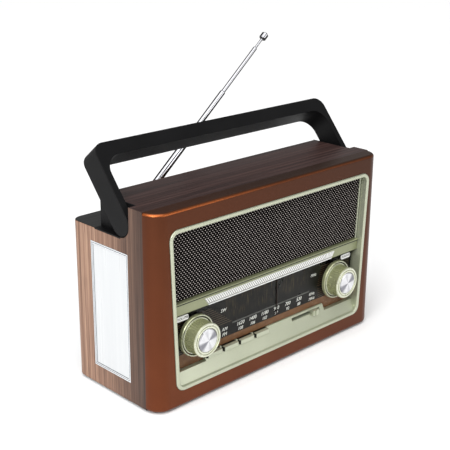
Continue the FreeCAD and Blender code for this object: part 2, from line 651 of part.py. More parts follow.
def band_switch():
    """Thumb piece outside the apron on a stem through the slot, and the switch body behind."""
    left, right = "slider_place - slider_width / 2", "slider_place + slider_width / 2"
    thumb = box("thumb", (left, right), ("2.9", "5.2"), ("slot_middle - 2.3", "slot_middle + 2.2"))
    ridge = box("thumb_ridge", ("slider_place - 0.8", "slider_place + 0.8"), ("2", "3"),
                ("slot_middle - 2", "slot_middle + 2"))
    stem = box("stem", (left + " + 1", right + " - 1"), ("5", "13.4"),
               ("slot_middle - slot_height / 2 + 0.35", "slot_middle + slot_height / 2 - 0.35"))
    place(fuse("band_slider", thumb, ridge, stem), "band_slider")
    case = box("band_case", ("slot_start - 4", "slot_end + 4"), ("11.8", BUTTON_BOARD_FRONT),
               ("19.4", "31.5"))
    way = box("band_way", ("slot_start - 1", "slot_end + 1"), ("10", "14.5"), around("slot_middle", 1.6))
    place(cut("band_switch_body", case, way), "band_switch_body")


# ---------------------------------------------------------------- handle


def handle():
    """Bail of two arms and a crossbar, drawn upright round its pivot and leant back by its Placement."""
    body = new_body("handle")
    out, inner = "case_width / 2", "case_width / 2 - arm_thickness"
    shape = outline(body, "handle_outline", "XZ_Plane",
                    [("-" + out, "0"), ("-(%s)" % inner, "0"), ("-(%s)" % inner, "bar_inner"),
                     (inner, "bar_inner"), (inner, "0"), (out, "0"), (out, "bar_outer"),
                     ("-" + out, "bar_outer")],
                    "arm_radius")
    extrude(body, "Pad", shape, "2 * arm_radius", backwards=True)
    width, thick = dim("case_width") / 2, dim("arm_thickness")
    round_edges(body, "outer_corners", "bar_outer_corner",
                lambda a, b: along(a, b, "y") and both(a, b, "z", dim("bar_outer")) and near(abs(a.x), width))
    round_edges(body, "inner_corners_of_bar", "bar_inner_corner",
                lambda a, b: along(a, b, "y") and both(a, b, "z", dim("bar_inner"))
                and near(abs(a.x), width - thick))
    for name, start in (("left_end", "-" + out), ("right_end", inner)):
        end = circle(body, name, "YZ_Plane", ("0", "0"), "arm_radius", start)
        extrude(body, "Pad", end, "arm_thickness")
    for name, start in (("left_pin_hole", "-%s + 2" % out), ("right_pin_hole", inner)):
        hole = circle(body, name, "YZ_Plane", ("0", "0"), "pin_radius + pin_clearance", start)
        extrude(body, "Pocket", hole, "arm_thickness - 2")
    round_edges(body, "handle_edges", "0.6", lambda a, b: handle_edge(a, b, width, thick))
    lean = Rotation(Vector(1, 0, 0), -dim("handle_lean"))
    place(body, "handle", y="pivot_depth", z="pivot_height", rotation=lean)


def handle_edge(a, b, width, thick):
    """The long edges of the crossbar and of the arms' outer faces."""
    reach = dim("arm_radius")
    on_face = both(a, b, "y", -reach) or both(a, b, "y", reach)
    return on_face and (both(a, b, "z", dim("bar_outer")) or both(abs_x(a), abs_x(b), "x", width))


def handle_brackets():
    """Black liners of the two handle recesses, and the pins that the arms turn on."""
    pins = []
    half = "case_width / 2"
    for side, sign in (("left", -1), ("right", 1)):
        edges = ["%d * (%s)" % (sign, value) for value in
                 (half + " - ledge_width - bracket_wall", half + " - ledge_width", half)]
        wall_x = (edges[0], edges[1]) if sign > 0 else (edges[1], edges[0])
        floor_x = (edges[0], edges[2]) if sign > 0 else (edges[2], edges[0])
        wall = box(side + "_liner", wall_x, ("pivot_depth - arm_radius - recess_gap", "centre_back"),
                   ("ledge_height - bracket_wall", "case_height"))
        floor = box(side + "_liner_floor", floor_x, ("pivot_depth", "centre_back"),
                    ("ledge_height - bracket_wall", "ledge_height"))
        hole_start = "%d * (%s)" % (sign, half + " - ledge_width - bracket_wall / 2") + " - 3"
        pivot = ("pivot_depth", "pivot_height")
        hole = cylinder(side + "_liner_hole", "x", "pin_radius", (hole_start, *pivot), "6")
        liner = cut("handle_bracket_" + side, fuse(side + "_liner_solid", wall, floor), hole)
        place(liner, "handle_bracket_" + side)
        start = "%d * (%s - pin_inset)" % (sign, half) + (" - pin_length" if sign > 0 else "")
        pins.append(cylinder(side + "_pin", "x", "pin_radius", (start, *pivot), "pin_length"))
    place(group("handle_pivot_pins", *pins), "handle_pivot_pins")


# ---------------------------------------------------------------- side lamp


def lamp():
    """Framed diffuser set flush in the left side, with a board of lamps behind it."""
    side = "-case_width / 2"
    y, z = ("lamp_front", "lamp_back"), ("lamp_low", "lamp_high")
    inner_y = ("lamp_front + lamp_rim", "lamp_back - lamp_rim")
    inner_z = ("lamp_low + lamp_rim", "lamp_high - lamp_rim")
    outer = box("lamp_outer", (side, side + " + lamp_depth"), y, z)
    hollow = box("lamp_hollow", (side + " - 1", side + " + lamp_depth + 1"), inner_y, inner_z)
    rings = []
    insets = (("lamp_groove_outside", "lamp_lip"), ("lamp_groove_inside", "(lamp_lip + lamp_groove)"))
    for name, inset in insets:
        rings.append(box(name, (side + " - 1", side + " + 1.2"),
                         ("lamp_front + " + inset, "lamp_back - " + inset),
                         ("lamp_low + " + inset, "lamp_high - " + inset)))
    place(cut("lamp_frame", outer, hollow, cut("lamp_groove_ring", *rings)), "lamp_frame")
    place(box("lamp_diffuser", (side + " + 0.5", side + " + 2"), inner_y, inner_z), "lamp_diffuser")
    place(box("lamp_led_board", (side + " + lamp_depth", side + " + lamp_depth + board_thickness"),
              ("lamp_front + 0.5", "lamp_back - 0.5"), ("lamp_low + 0.5", "lamp_high - 0.5")),
          "lamp_led_board")
    leds = []
    for row in range(6):
        for column in range(2):
            middle_y = "lamp_front + 14 + %d * 13.5" % column
            middle_z = "lamp_low + 11 + %d * 15" % row
            led = box("led_%d_%d" % (row, column), (side + " + lamp_depth - 1.4", side + " + lamp_depth"),
                      around(middle_y, 1.75), around(middle_z, 1.4))
            leds.append(led)
    place(group("lamp_leds", *leds), "lamp_leds")


# ---------------------------------------------------------------- back, battery bay and screws

JACK_PLACE = ("88", "40")
VENT_COUNT = 7


def back_panel():
    """Inset panel with a battery opening, vent slots, screw seats and a hole for the antenna's swivel pin."""
    body = new_body("back_panel")
    inner = "case_depth - panel_thickness"
    block(body, "Pad", "panel_block", ("-panel_half", "panel_half"), (inner, "case_depth"),
          ("panel_low", "panel_high"))
    reach = "door_half + door_gap"
    block(body, "Pocket", "battery_opening", ("-(%s)" % reach, reach), (inner + " - 1", "case_depth + 1"),
          ("door_low - door_gap", "door_high + door_gap"))
    for index, (x, z) in enumerate(BOSS_PLACES):
        for kind, radius, depth in (("seat", "3.3", "2"), ("hole", SCREW_RADIUS, "panel_thickness + 1")):
            sketch = circle(body, "panel_%s_%d" % (kind, index), "XZ_Plane", (x, z), radius, "-case_depth")
            extrude(body, "Pocket", sketch, depth)
    for index in range(VENT_COUNT):
        low = "72 + %d * 4.5" % index
        block(body, "Pocket", "vent_%d" % index, ("20", "70"), (inner + " - 1", "case_depth + 1"),
              (low, low + " + 1.8"))
    holes = (("jack_hole", JACK_PLACE, "4"), ("swivel_hole", ("aerial_place", "aerial_height"), "2.1"))
    for name, centre, radius in holes:
        hole = circle(body, name, "XZ_Plane", centre, radius, "-case_depth")
        extrude(body, "Pocket", hole, "panel_thickness + 1")
    for name, start in (("left_hinge_hole", "-(%s) - 2.4" % reach), ("right_hinge_hole", reach + " - 0.6")):
        hole = circle(body, name, "YZ_Plane", ("case_depth - 1", "door_low + 1"), "0.85", start)
        extrude(body, "Pocket", hole, "3")
    place(body, "back_panel")


def battery_door():
    """Cover with a rounded lower edge and two short hinge pins, ribbed where a thumb opens it."""
    body = new_body("battery_door")
    outer = "case_depth"
    block(body, "Pad", "door_block", ("-door_half", "door_half"), (outer + " - door_thickness", outer),
          ("door_low", "door_high"))
    round_edges(body, "door_foot", "0.95", lambda a, b: along(a, b, "x") and both(a, b, "z", dim("door_low")))
    pins = circle(body, "door_pins", "YZ_Plane", (outer + " - 1", "door_low + 1"), "0.8", "-door_half - 2.2")
    extrude(body, "Pad", pins, "2 * door_half + 4.4")
    for index in range(5):
        low = "door_high - 10 + %d * 1.8" % index
        block(body, "Pocket", "grip_%d" % index, ("-9", "9"), (outer + " - 0.5", outer + " + 1"),
              (low, low + " + 0.9"))
    place(body, "battery_door")


def battery_bay():
    """Open tray behind the door with two large cells end to end and a contact at each end."""
    front, back = "case_depth - panel_thickness - 37", "case_depth - panel_thickness"
    low, high = "door_low + 1", "door_high - 1"
    tray = box("tray_block", ("-tray_outside", "tray_outside"), (front, back),
               ("door_low - 1.5", "door_high + 1.5"))
    hollow = box("tray_hollow", ("-tray_inside", "tray_inside"), (front + " + 1.6", back + " + 1"),
                 (low + " + 1.6", high + " - 1.6"))
    place(cut("battery_tray", tray, hollow), "battery_tray")
    depth, height = front + " + 1.8 + cell_radius", "(door_low + door_high) / 2"
    cells = []
    for index, start in enumerate(("-cell_length - 0.6", "0.6")):
        barrel = cylinder("cell_barrel_%d" % index, "x", "cell_radius", (start, depth, height),
                          "cell_length - 1.5")
        nub = cylinder("cell_nub_%d" % index, "x", "4.75", (start + " + cell_length - 1.5", depth, height),
                       "1.5")
        cells.append(fuse("cell_%d" % index, barrel, nub))
    place(group("battery_cells", *cells), "battery_cells")
    face = "tray_inside - contact_thickness"
    spans = (("-tray_inside", "-(%s)" % face), (face, "tray_inside"))
    plates = [box("contact_plate_%d" % index, span, around(depth, 8), around(height, 8))
              for index, span in enumerate(spans)]
    reach = face + " - cell_length - 0.7"
    spring = cone("contact_spring", "x", "6", "4", ("-(%s)" % face, depth, height), reach)
    tab = cylinder("contact_tab", "x", "4", ("cell_length + 0.7", depth, height), reach)
    left = fuse("spring_contact", plates[0], spring)
    right = fuse("flat_contact", plates[1], tab)
    place(group("battery_contacts", left, right), "battery_contacts")


def screws():
    items = []
    for index, (x, z) in enumerate(BOSS_PLACES):
        head = cylinder("screw_head_%d" % index, "y", "3", (x, "case_depth - 2", z), "1.6")
        depth = ("case_depth - 1.1", "case_depth")
        slot = box("screw_slot_%d" % index, around(x, 2), depth, around(z, 0.4))
        cross = box("screw_cross_%d" % index, around(x, 0.4), depth, around(z, 2))
        shank = cylinder("screw_shank_%d" % index, "y", SCREW_RADIUS + " - 0.02", (x, "case_depth - 13", z),
                         "11.5")
        items.append(cut("screw_%d" % index, fuse("screw_solid_%d" % index, head, shank), slot, cross))
    place(group("case_screws", *items), "case_screws")


def jack():
    """Earphone socket: a sleeve through the back panel with a blind hole for a 3.5 mm plug."""
    x, z = JACK_PLACE
    sleeve = cylinder("jack_sleeve", "y", "3.9", (x, "case_depth - 16", z), "16")
    flange = box("jack_block", around(x, 5), ("case_depth - 17", "case_depth - panel_thickness"),
                 around(z, 5))
    bore = cylinder("jack_bore", "y", "1.8", (x, "case_depth - 14", z), "15")
    place(cut("earphone_jack", fuse("jack_solid", sleeve, flange), bore), "earphone_jack")


# ---------------------------------------------------------------- speaker, boards and ferrite rod


def speaker():
    """Loudspeaker: a square-flanged basket, a paper cone and a magnet."""
    x, z, front = "speaker_place", "speaker_height", "speaker_front"
    radius = "speaker_radius"
    flange = box("basket_flange", around(x, radius), (front, front + " + 2"), around(z, radius))
    outside = cone("basket_cone", "y", radius + " - 2", "16", (x, front + " + 2", z), "16")
    inside = cone("basket_inside", "y", radius + " - 3.5", "14.5", (x, front + " - 0.01", z), "17")
    bore = cylinder("basket_bore", "y", "13", (x, front, z), "19")
    place(cut("speaker_frame", fuse("basket_solid", flange, outside), fuse("basket_hollow", inside, bore)),
          "speaker_frame")
    paper = cone("paper_outer", "y", radius + " - 5", "8", (x, front + " + 0.8", z), "13")
    air = cone("paper_air", "y", radius + " - 5.8", "7.2", (x, front + " + 0.79", z), "13.02")
    dust = cylinder("dust_cap", "y", "11.3", (x, front + " + 11.4", z), "1")
    place(fuse("speaker_cone", cut("paper", paper, air), dust), "speaker_cone")
    place(cylinder("speaker_magnet", "y", "18", (x, front + " + 18", z), "11"), "speaker_magnet")


def boards():
    at = ("ferrite_depth", "ferrite_height")
    place(box("main_board", ("-98", "98"), ("board_front", "board_front + board_thickness"), ("10", "62")),
          "main_board")
    place(cylinder("ferrite_rod", "x", "ferrite_radius", ("-45", *at), "90"), "ferrite_rod")
    sleeve = cylinder("coil_sleeve", "x", "ferrite_radius + 1.5", ("-35", *at), "24")
    bore = cylinder("coil_bore", "x", "ferrite_radius + 0.02", ("-36", *at), "26")
    place(cut("ferrite_coil", sleeve, bore), "ferrite_coil")


# ---------------------------------------------------------------- antenna

AERIAL = {"x": "aerial_place", "y": "aerial_depth", "z": "aerial_height"}
EAR_INNER = "2.2"
EAR_OUTER = "3.8"


def raised():
    """Turns the antenna's own frame, drawn along +X, up to its resting angle."""
    return Rotation(Vector(0, 1, 0), -dim("aerial_angle"))


def turned_along_x(name, points):
    body = new_body(name)
    revolve(body, name + "_turned", "XY_Plane", points, "X_Axis")
    return body


def tube_points(start, end, radius, bore, closed="1.5"):
    """Half section of a tube open at its far end, given along X and out from the X axis."""
    return [(start, "0"), (start, radius), (end + " - 0.4", radius), (end, radius + " - 0.2"), (end, bore),
            (start + " + " + closed, bore), (start + " + " + closed, "0")]


def antenna():
    """Bracket, swivelling knuckle with a cross pin, and four telescoping sections with a tip."""
    disc = cylinder("bracket_disc", "y", "8", ("0", "case_depth", "0"), "1")
    hole = cylinder("bracket_hole", "y", "2.1", ("0", "case_depth - 1", "0"), "3")
    place(cut("antenna_bracket", disc, hole), "antenna_bracket", x="aerial_place", z="aerial_height")

    plate = cylinder("knuckle_plate", "y", "6", ("0", "-3.9", "0"), "1.2")
    swivel = cylinder("swivel_pin", "y", "2.05", ("0", "-8.4", "0"), "5")
    ears = [box("ear_%d" % index, ("-3", "3"), ("-3.2", "3"), span) for index, span in
            enumerate((("-" + EAR_OUTER, "-" + EAR_INNER), (EAR_INNER, EAR_OUTER)))]
    pin = cylinder("tilt_pin", "z", "1.2", ("0", "0", "-" + EAR_OUTER), "2 * " + EAR_OUTER)
    place(fuse("antenna_knuckle", plate, swivel, pin, *ears), "antenna_knuckle", rotation=raised(), **AERIAL)

    body = turned_along_x("antenna_tube", tube_points("tube_start", "tube_end", "tube_radius",
                                                      "tube_radius - tube_wall"))
    tang = rectangle(body, "tang", "XY_Plane", ("0", "tube_start + 0.5"), ("-2.3", "2.3"), "-1.9")
    extrude(body, "Pad", tang, "3.8")
    eye = circle(body, "tang_eye", "XY_Plane", ("0", "0"), "2.3", "-1.9")
    extrude(body, "Pad", eye, "3.8")
    extrude(body, "Pocket", circle(body, "tang_hole", "XY_Plane", ("0", "0"), "1.26", "-3"), "6")
    place(body, "antenna_tube", rotation=raised(), **AERIAL)

    sections = (("antenna_section_2", "tube_end - 28", "second_end", "second_radius"),
                ("antenna_section_3", "second_end - 20", "third_end", "third_radius"))
    for name, start, end, radius in sections:
        place(turned_along_x(name, tube_points(start, end, radius, radius + " - tube_wall + 0.1")), name,
              rotation=raised(), **AERIAL)
    rod = turned_along_x("antenna_rod", [("third_end - 28", "0"), ("third_end - 28", "rod_radius"),
                                         ("rod_end", "rod_radius"), ("rod_end", "0")])
    place(rod, "antenna_rod", rotation=raised(), **AERIAL)
    end, radius = "rod_end + tip_length - 2", "tip_radius"
    tip = turned_along_x("antenna_tip", [("rod_end - 2", "rod_radius"), ("rod_end - 2", radius + " - 0.5"),
                                         ("rod_end - 1.5", radius), (end + " - 0.8", radius),
                                         (end, radius + " - 0.8"), (end, "0"), ("rod_end", "0"),
                                         ("rod_end", "rod_radius")])
    place(tip, "antenna_tip", rotation=raised(), **AERIAL)


def antenna_clip():
    """Upward-open hook on the back panel for the stowed antenna."""
    low = "aerial_height - tube_radius"
    solid = box("clip_block", ("12", "20"), ("case_depth", "aerial_depth + tube_radius + 2"),
                (low + " - 2", "aerial_height + 2"))
    way = box("clip_way", ("11", "21"), around("aerial_depth", "tube_radius + 0.3"),
              (low + " - 0.4", "aerial_height + 3"))
    place(cut("antenna_clip", solid, way), "antenna_clip")


# ---------------------------------------------------------------- build, check and write

MAKERS = (cabinet_shell, front_frame, bezel, feet, grille, rail, dial, pointer, label_plates, knobs,
          buttons, band_switch, handle, handle_brackets, lamp, back_panel, battery_door, battery_bay, screws,
          jack, speaker, boards, antenna, antenna_clip)
for make in MAKERS:
    make()
doc.removeObject(work.Name)
doc.recompute()

for item in doc.Objects:
    if "Invalid" in item.State or "Error" in item.State:
        raise RuntimeError("%s is %s" % (item.Label, item.State))
for item in subparts:
    if item.Shape.isNull() or not item.Shape.isValid():
        raise RuntimeError("%s has a bad shape" % item.Label)

os.makedirs("parts", exist_ok=True)
for item in subparts:
    item.Shape.exportStep("parts/%s.step" % item.Label)

whole = FreeCAD.BoundBox()
for item in subparts:
    whole.add(item.Shape.BoundBox)
print("%d sub-parts; X %.2f to %.2f, Y %.2f to %.2f, Z %.2f to %.2f" % (
    len(subparts), whole.XMin, whole.XMax, whole.YMin, whole.YMax, whole.ZMin, whole.ZMax))
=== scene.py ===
import json
import math
import bpy
from mathutils import Matrix, Vector


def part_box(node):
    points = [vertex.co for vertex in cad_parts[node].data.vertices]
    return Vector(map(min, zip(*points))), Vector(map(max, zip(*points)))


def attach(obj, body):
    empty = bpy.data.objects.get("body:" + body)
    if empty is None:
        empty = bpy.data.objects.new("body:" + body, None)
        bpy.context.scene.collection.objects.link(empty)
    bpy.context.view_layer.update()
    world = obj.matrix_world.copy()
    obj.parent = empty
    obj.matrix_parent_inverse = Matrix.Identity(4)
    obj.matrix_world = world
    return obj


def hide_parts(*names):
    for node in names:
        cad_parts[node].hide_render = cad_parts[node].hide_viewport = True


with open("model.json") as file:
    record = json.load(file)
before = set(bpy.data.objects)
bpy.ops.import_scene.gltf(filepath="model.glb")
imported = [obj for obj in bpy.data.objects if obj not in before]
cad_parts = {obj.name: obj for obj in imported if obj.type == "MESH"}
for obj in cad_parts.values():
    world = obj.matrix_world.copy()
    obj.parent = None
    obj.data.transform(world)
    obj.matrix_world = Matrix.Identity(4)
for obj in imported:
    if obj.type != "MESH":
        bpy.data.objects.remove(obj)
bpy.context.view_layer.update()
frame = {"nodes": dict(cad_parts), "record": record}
NODES = frame["nodes"]
MM = 0.001


# ---------------------------------------------------------------- camera

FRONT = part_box("front_frame")[0].y
CAMERA_PLACE = Vector((-0.5065, FRONT - 0.4623, 0.3522))
CAMERA_RIGHT = Vector((0.7174, -0.6966, 0.0071))
CAMERA_UP = Vector((0.2229, 0.2392, 0.9450))
CAMERA_LENS, CAMERA_SENSOR = 77.98, 36


def make_camera():
    data = bpy.data.cameras.new("camera")
    data.lens = CAMERA_LENS
    data.sensor_width = CAMERA_SENSOR
    camera = bpy.data.objects.new("camera", data)
    right = CAMERA_RIGHT.normalized()
    back = right.cross(CAMERA_UP).normalized()
    up = back.cross(right)
    camera.matrix_world = Matrix.Translation(CAMERA_PLACE) @ Matrix((right, up, back)).transposed().to_4x4()
    bpy.context.collection.objects.link(camera)
    bpy.context.scene.camera = camera


make_camera()


# ---------------------------------------------------------------- node materials


def rgb(red, green, blue):
    """A linear colour from the 0 to 255 values that a screen shows."""
    def linear(value):
        value /= 255
        return value / 12.92 if value <= 0.04045 else ((value + 0.055) / 1.055) ** 2.4
    return (linear(red), linear(green), linear(blue), 1)


class Surface:
    """A node material with patterns in the piece's own coordinates, so that frequencies are per metre."""

    def __init__(self, name, colour, roughness, metallic=0, **sockets):
        self.material = bpy.data.materials.new(name)
        self.material.use_nodes = True
        self.tree = self.material.node_tree
        self.shader = self.tree.nodes["Principled BSDF"]
        self.shader.inputs["Base Color"].default_value = colour
        self.shader.inputs["Roughness"].default_value = roughness
        self.shader.inputs["Metallic"].default_value = metallic
        for socket, value in sockets.items():
            self.shader.inputs[socket.replace("_", " ")].default_value = value
        coordinates = self.node("ShaderNodeTexCoord").outputs
        self.place, self.normal = coordinates["Object"], coordinates["Normal"]
        self.height = None

    def node(self, kind, **settings):
        item = self.tree.nodes.new(kind)
        for name, value in settings.items():
            setattr(item, name, value)
        return item

    def feed(self, socket, value):
        if isinstance(value, bpy.types.NodeSocket):
            self.tree.links.new(value, socket)
        else:
            socket.default_value = value

    def stretched(self, scale):
        item = self.node("ShaderNodeMapping")
        self.feed(item.inputs["Vector"], self.place)
        item.inputs["Scale"].default_value = scale
        return item.outputs["Vector"]

    def noise(self, scale, detail=2, distortion=0):
        """Noise from 0 to 1 with a frequency per metre along each axis."""
        item = self.node("ShaderNodeTexNoise")
        self.feed(item.inputs["Vector"], self.stretched(scale))
        item.inputs["Scale"].default_value = 1
        item.inputs["Detail"].default_value = detail
        item.inputs["Distortion"].default_value = distortion
        return item.outputs["Fac"]

    def cells(self, scale):
        """The distance to the middle of the nearest of many cells, for flakes."""
        item = self.node("ShaderNodeTexVoronoi")
        self.feed(item.inputs["Vector"], self.stretched(scale))
        item.inputs["Scale"].default_value = 1
        return item.outputs["Distance"]

    def ramp(self, factor, *stops):
        item = self.node("ShaderNodeValToRGB")
        ramp = item.color_ramp
        while len(ramp.elements) < len(stops):
            ramp.elements.new(0.5)
        for element, (position, colour) in zip(ramp.elements, stops):
            element.position = position
            element.color = colour
        self.feed(item.inputs["Fac"], factor)
        return item.outputs["Color"]

    def span(self, factor, low, high, start=0.3, end=0.7):
        """factor's range from start to end as a value from low to high."""
        item = self.node("ShaderNodeMapRange")
        for name, value in (("Value", factor), ("From Min", start), ("From Max", end),
                            ("To Min", low), ("To Max", high)):
            self.feed(item.inputs[name], value)
        return item.outputs["Result"]

    def math(self, operation, first, second=0.5):
        item = self.node("ShaderNodeMath", operation=operation)
        self.feed(item.inputs[0], first)
        self.feed(item.inputs[1], second)
        return item.outputs["Value"]

    def mix(self, factor, first, second, blend="MIX"):
        item = self.node("ShaderNodeMix", data_type="RGBA", blend_type=blend)
        for index, value in ((0, factor), (6, first), (7, second)):
            self.feed(item.inputs[index], value)
        return item.outputs[2]

    def axis(self, letter, socket=None):
        item = self.node("ShaderNodeSeparateXYZ")
        self.feed(item.inputs[0], socket or self.place)
        return item.outputs[letter]

    def colour(self, value):
        self.feed(self.shader.inputs["Base Color"], value)
        return self

    def rough(self, value):
        self.feed(self.shader.inputs["Roughness"], value)
        return self

    def bump(self, height, depth, strength=1.0):
        """Adds relief of a depth in metres."""
        item = self.node("ShaderNodeBump")
        item.inputs["Strength"].default_value = strength
        item.inputs["Distance"].default_value = depth
        self.feed(item.inputs["Height"], height)
        if self.height:
            self.feed(item.inputs["Normal"], self.height)
        self.height = item.outputs["Normal"]
        self.feed(self.shader.inputs["Normal"], self.height)
        return self

    def spray(self):
        """The fine orange peel of sprayed paint."""
        return self.bump(self.noise((PEEL,) * 3, 2), 0.00002, 0.35)


# Frequencies per metre of the paints' relief and flakes.
PEEL, FLAKE, COPPER_FLAKE = 2600, 6500, 7000
CHAMPAGNE, CHAMPAGNE_DEEP = rgb(186, 190, 168), rgb(160, 164, 140)
# The ledge for the folded handle lies below this height, and painted shade darkens the wood over this depth.
LEDGE_TOP, WOOD_SHADE = 0.14, 0.05


def wood_film():
    """Grain printed on film, upright on the sides and along X on top, none on the ledge, with painted shade:
    darker to the front, and darker colours on top.
    """
    s = Surface("wood_film", rgb(120, 84, 68), 0.42, Specular_IOR_Level=0.25, Coat_Weight=0.08,
                Coat_Roughness=0.25)
    flat = s.math("GREATER_THAN", s.math("ABSOLUTE", s.axis("Z", s.normal)), 0.6)
    ledge = s.math("MULTIPLY", flat, s.math("LESS_THAN", s.axis("Z"), LEDGE_TOP))

    def grain(across, along, detail, distortion=0.0):
        side = s.noise((across, across, along), detail, distortion)
        top = s.noise((along, across, across), detail, distortion)
        item = s.node("ShaderNodeMix", data_type="FLOAT")
        s.feed(item.inputs[0], flat)
        s.feed(item.inputs[2], side)
        s.feed(item.inputs[3], top)
        return item.outputs[0]

    broad, streak = grain(60, 3, 2, 0.3), grain(460, 7, 3, 0.3)
    fine, pore = grain(1400, 14, 2), grain(2100, 45, 1)
    tone = s.math("ADD", s.math("MULTIPLY", broad, 0.24), s.math("MULTIPLY", streak, 0.42))
    tone = s.math("ADD", tone, s.math("MULTIPLY", fine, 0.34))
    side = s.ramp(tone, (0.36, rgb(84, 58, 46)), (0.46, rgb(124, 92, 74)), (0.54, rgb(146, 112, 92)),
                  (0.64, rgb(178, 144, 120)))
    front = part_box("cabinet_shell")[0].y
    # Painted shade: the sides darken towards the front of the case.
    shade = s.span(s.axis("Y"), 0.85, 0.0, front, front + WOOD_SHADE)
    side = s.mix(shade, side, rgb(66, 42, 36), "MULTIPLY")
    # Painted shade: the top's grain gets much darker colours than the sides' grain.
    top = s.ramp(tone, (0.36, rgb(30, 19, 18)), (0.48, rgb(50, 35, 33)), (0.56, rgb(62, 44, 41)),
                 (0.66, rgb(82, 60, 55)))
    wood = s.mix(s.span(pore, 0.0, 0.45, 0.6, 0.7), s.mix(flat, side, top), rgb(40, 26, 22))
    s.colour(s.mix(ledge, wood, rgb(34, 35, 35)))
    s.rough(s.span(fine, 0.36, 0.5)).bump(fine, 0.00008, 0.5).bump(pore, 0.00006, 0.4)
    return s.material


def metallic_paint(name, colour, deep, metallic, roughness):
    """Paint with fine metal flake and a slow unevenness of tone."""
    s = Surface(name, colour, roughness, metallic, Coat_Weight=0.25, Coat_Roughness=0.18)
    sparkle, slow = s.cells((FLAKE,) * 3), s.noise((38, 38, 38), 3)
    s.colour(s.mix(s.span(sparkle, 0.0, 0.35, 0.1, 0.9), s.mix(s.span(slow, 0, 0.3), colour, deep), deep))
    s.rough(s.span(sparkle, roughness - 0.05, roughness + 0.08, 0.1, 0.8)).spray()
    return s.material


def button_paint_and_shade():
    """Champagne paint, with painted shade as dark as the slot on the button's left side and on its top 3 mm
    behind the front.
    """
    s = Surface("button_paint_and_shade", CHAMPAGNE, 0.32, 0.5, Coat_Weight=0.2)
    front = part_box("power_button")[0].y
    deep = s.span(s.axis("Y"), 0, 1, front + 3.0 * MM, front + 3.5 * MM)
    # Painted shade on the left side and on the top behind the front, where the button sits in its slot.
    shaded_top = s.math("MULTIPLY", s.span(s.axis("Z", s.normal), 0, 1, 0.55, 0.85), deep)
    shaded_left = s.span(s.axis("X", s.normal), 1, 0, -0.85, -0.55)
    sparkle = s.cells((FLAKE,) * 3)
    paint = s.mix(s.span(sparkle, 0, 0.35, 0.1, 0.9), CHAMPAGNE, CHAMPAGNE_DEEP)
    s.colour(s.mix(s.math("MAXIMUM", shaded_top, shaded_left), paint, rgb(34, 34, 28)))
    s.rough(s.span(sparkle, 0.28, 0.4, 0.1, 0.8)).spray()
    return s.material


def copper_paint():
    """Metallic copper-brown paint with painted shade to the top and right, a painted highlight on its upper
    edge and a painted dark reflection where that edge turns up.
    """
    s = Surface("copper_paint", rgb(120, 66, 44), 0.36, 0.85, Specular_IOR_Level=0.2)
    sparkle, slow = s.cells((COPPER_FLAKE,) * 3), s.noise((38, 38, 38), 3)
    low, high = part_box("front_frame")
    # Painted shade: the paint darkens towards the top and the right.
    rise = s.span(s.axis("Z"), 0, 0.6, low.z, high.z)
    across = s.span(s.axis("X"), 0, 0.4, low.x, high.x)
    paint = s.mix(s.math("ADD", rise, across), rgb(116, 63, 39), rgb(64, 40, 27))
    upward = s.axis("Z", s.normal)
    # Painted highlight: an orange band on the rounded upper edge, strongest at the left.
    bright = s.math("MULTIPLY", s.span(upward, 0, 1, 0.12, 0.4), s.span(s.axis("X"), 0.85, 0.2, low.x, 0.0))
    paint = s.mix(bright, paint, rgb(214, 118, 62))
    # Painted reflection: dark where the edge turns up into the top face.
    paint = s.mix(s.span(upward, 0, 0.85, 0.6, 0.9), paint, rgb(56, 46, 38))
    paint = s.mix(s.span(slow, 0, 0.2), paint, rgb(70, 36, 24))
    s.colour(s.mix(s.span(sparkle, 0.0, 0.3, 0.1, 0.9), paint, rgb(78, 42, 28)))
    s.rough(s.span(sparkle, 0.32, 0.44, 0.1, 0.8)).spray()
    return s.material


def knob_paint():
    """Plated plastic, bright on the turned front faces and olive round the ribbed sides."""
    s = Surface("knob_paint", rgb(150, 154, 122), 0.28, 0.5)
    face = s.span(s.math("MULTIPLY", s.axis("Y", s.normal), -1.0), 0, 1, 0.5, 0.85)
    wear = s.noise((260,) * 3, 2)
    sides = s.mix(s.span(wear, 0, 0.3), rgb(160, 163, 126), rgb(138, 142, 104))
    faces = s.mix(s.span(wear, 0, 0.3), rgb(212, 214, 196), rgb(190, 193, 170))
    s.colour(s.mix(face, sides, faces))
    s.rough(s.span(wear, 0.26, 0.32)).bump(s.noise((PEEL,) * 3, 2), 0.00001, 0.2)
    return s.material


def moulded_plastic(name, colour, roughness=0.5, grain=2400, depth=0.00006, specular=0.3):
    """Plastic with a spark-eroded grain and slight handling wear in its gloss."""
    s = Surface(name, colour, roughness, Specular_IOR_Level=specular)
    texture, slow = s.noise((grain,) * 3, 3), s.noise((45,) * 3, 2)
    light = tuple(min(1, value * 1.5 + 0.002) for value in colour[:3]) + (1,)
    s.colour(s.mix(s.span(slow, 0, 0.5), colour, light))
    s.rough(s.span(texture, roughness - 0.08, roughness + 0.12)).bump(texture, depth, 0.7)
    return s.material


def metal(name, colour, roughness, stretch, depth=0.00001):
    """Bare or plated metal with fine drawn marks."""
    s = Surface(name, colour, roughness, 1)
    marks = s.noise(stretch, 3)
    s.colour(s.mix(s.span(marks, 0, 0.25), colour, tuple(v * 0.6 for v in colour[:3]) + (1,)))
    s.rough(s.span(marks, roughness * 0.8, roughness * 1.4)).bump(marks, depth, 0.4)
    return s.material


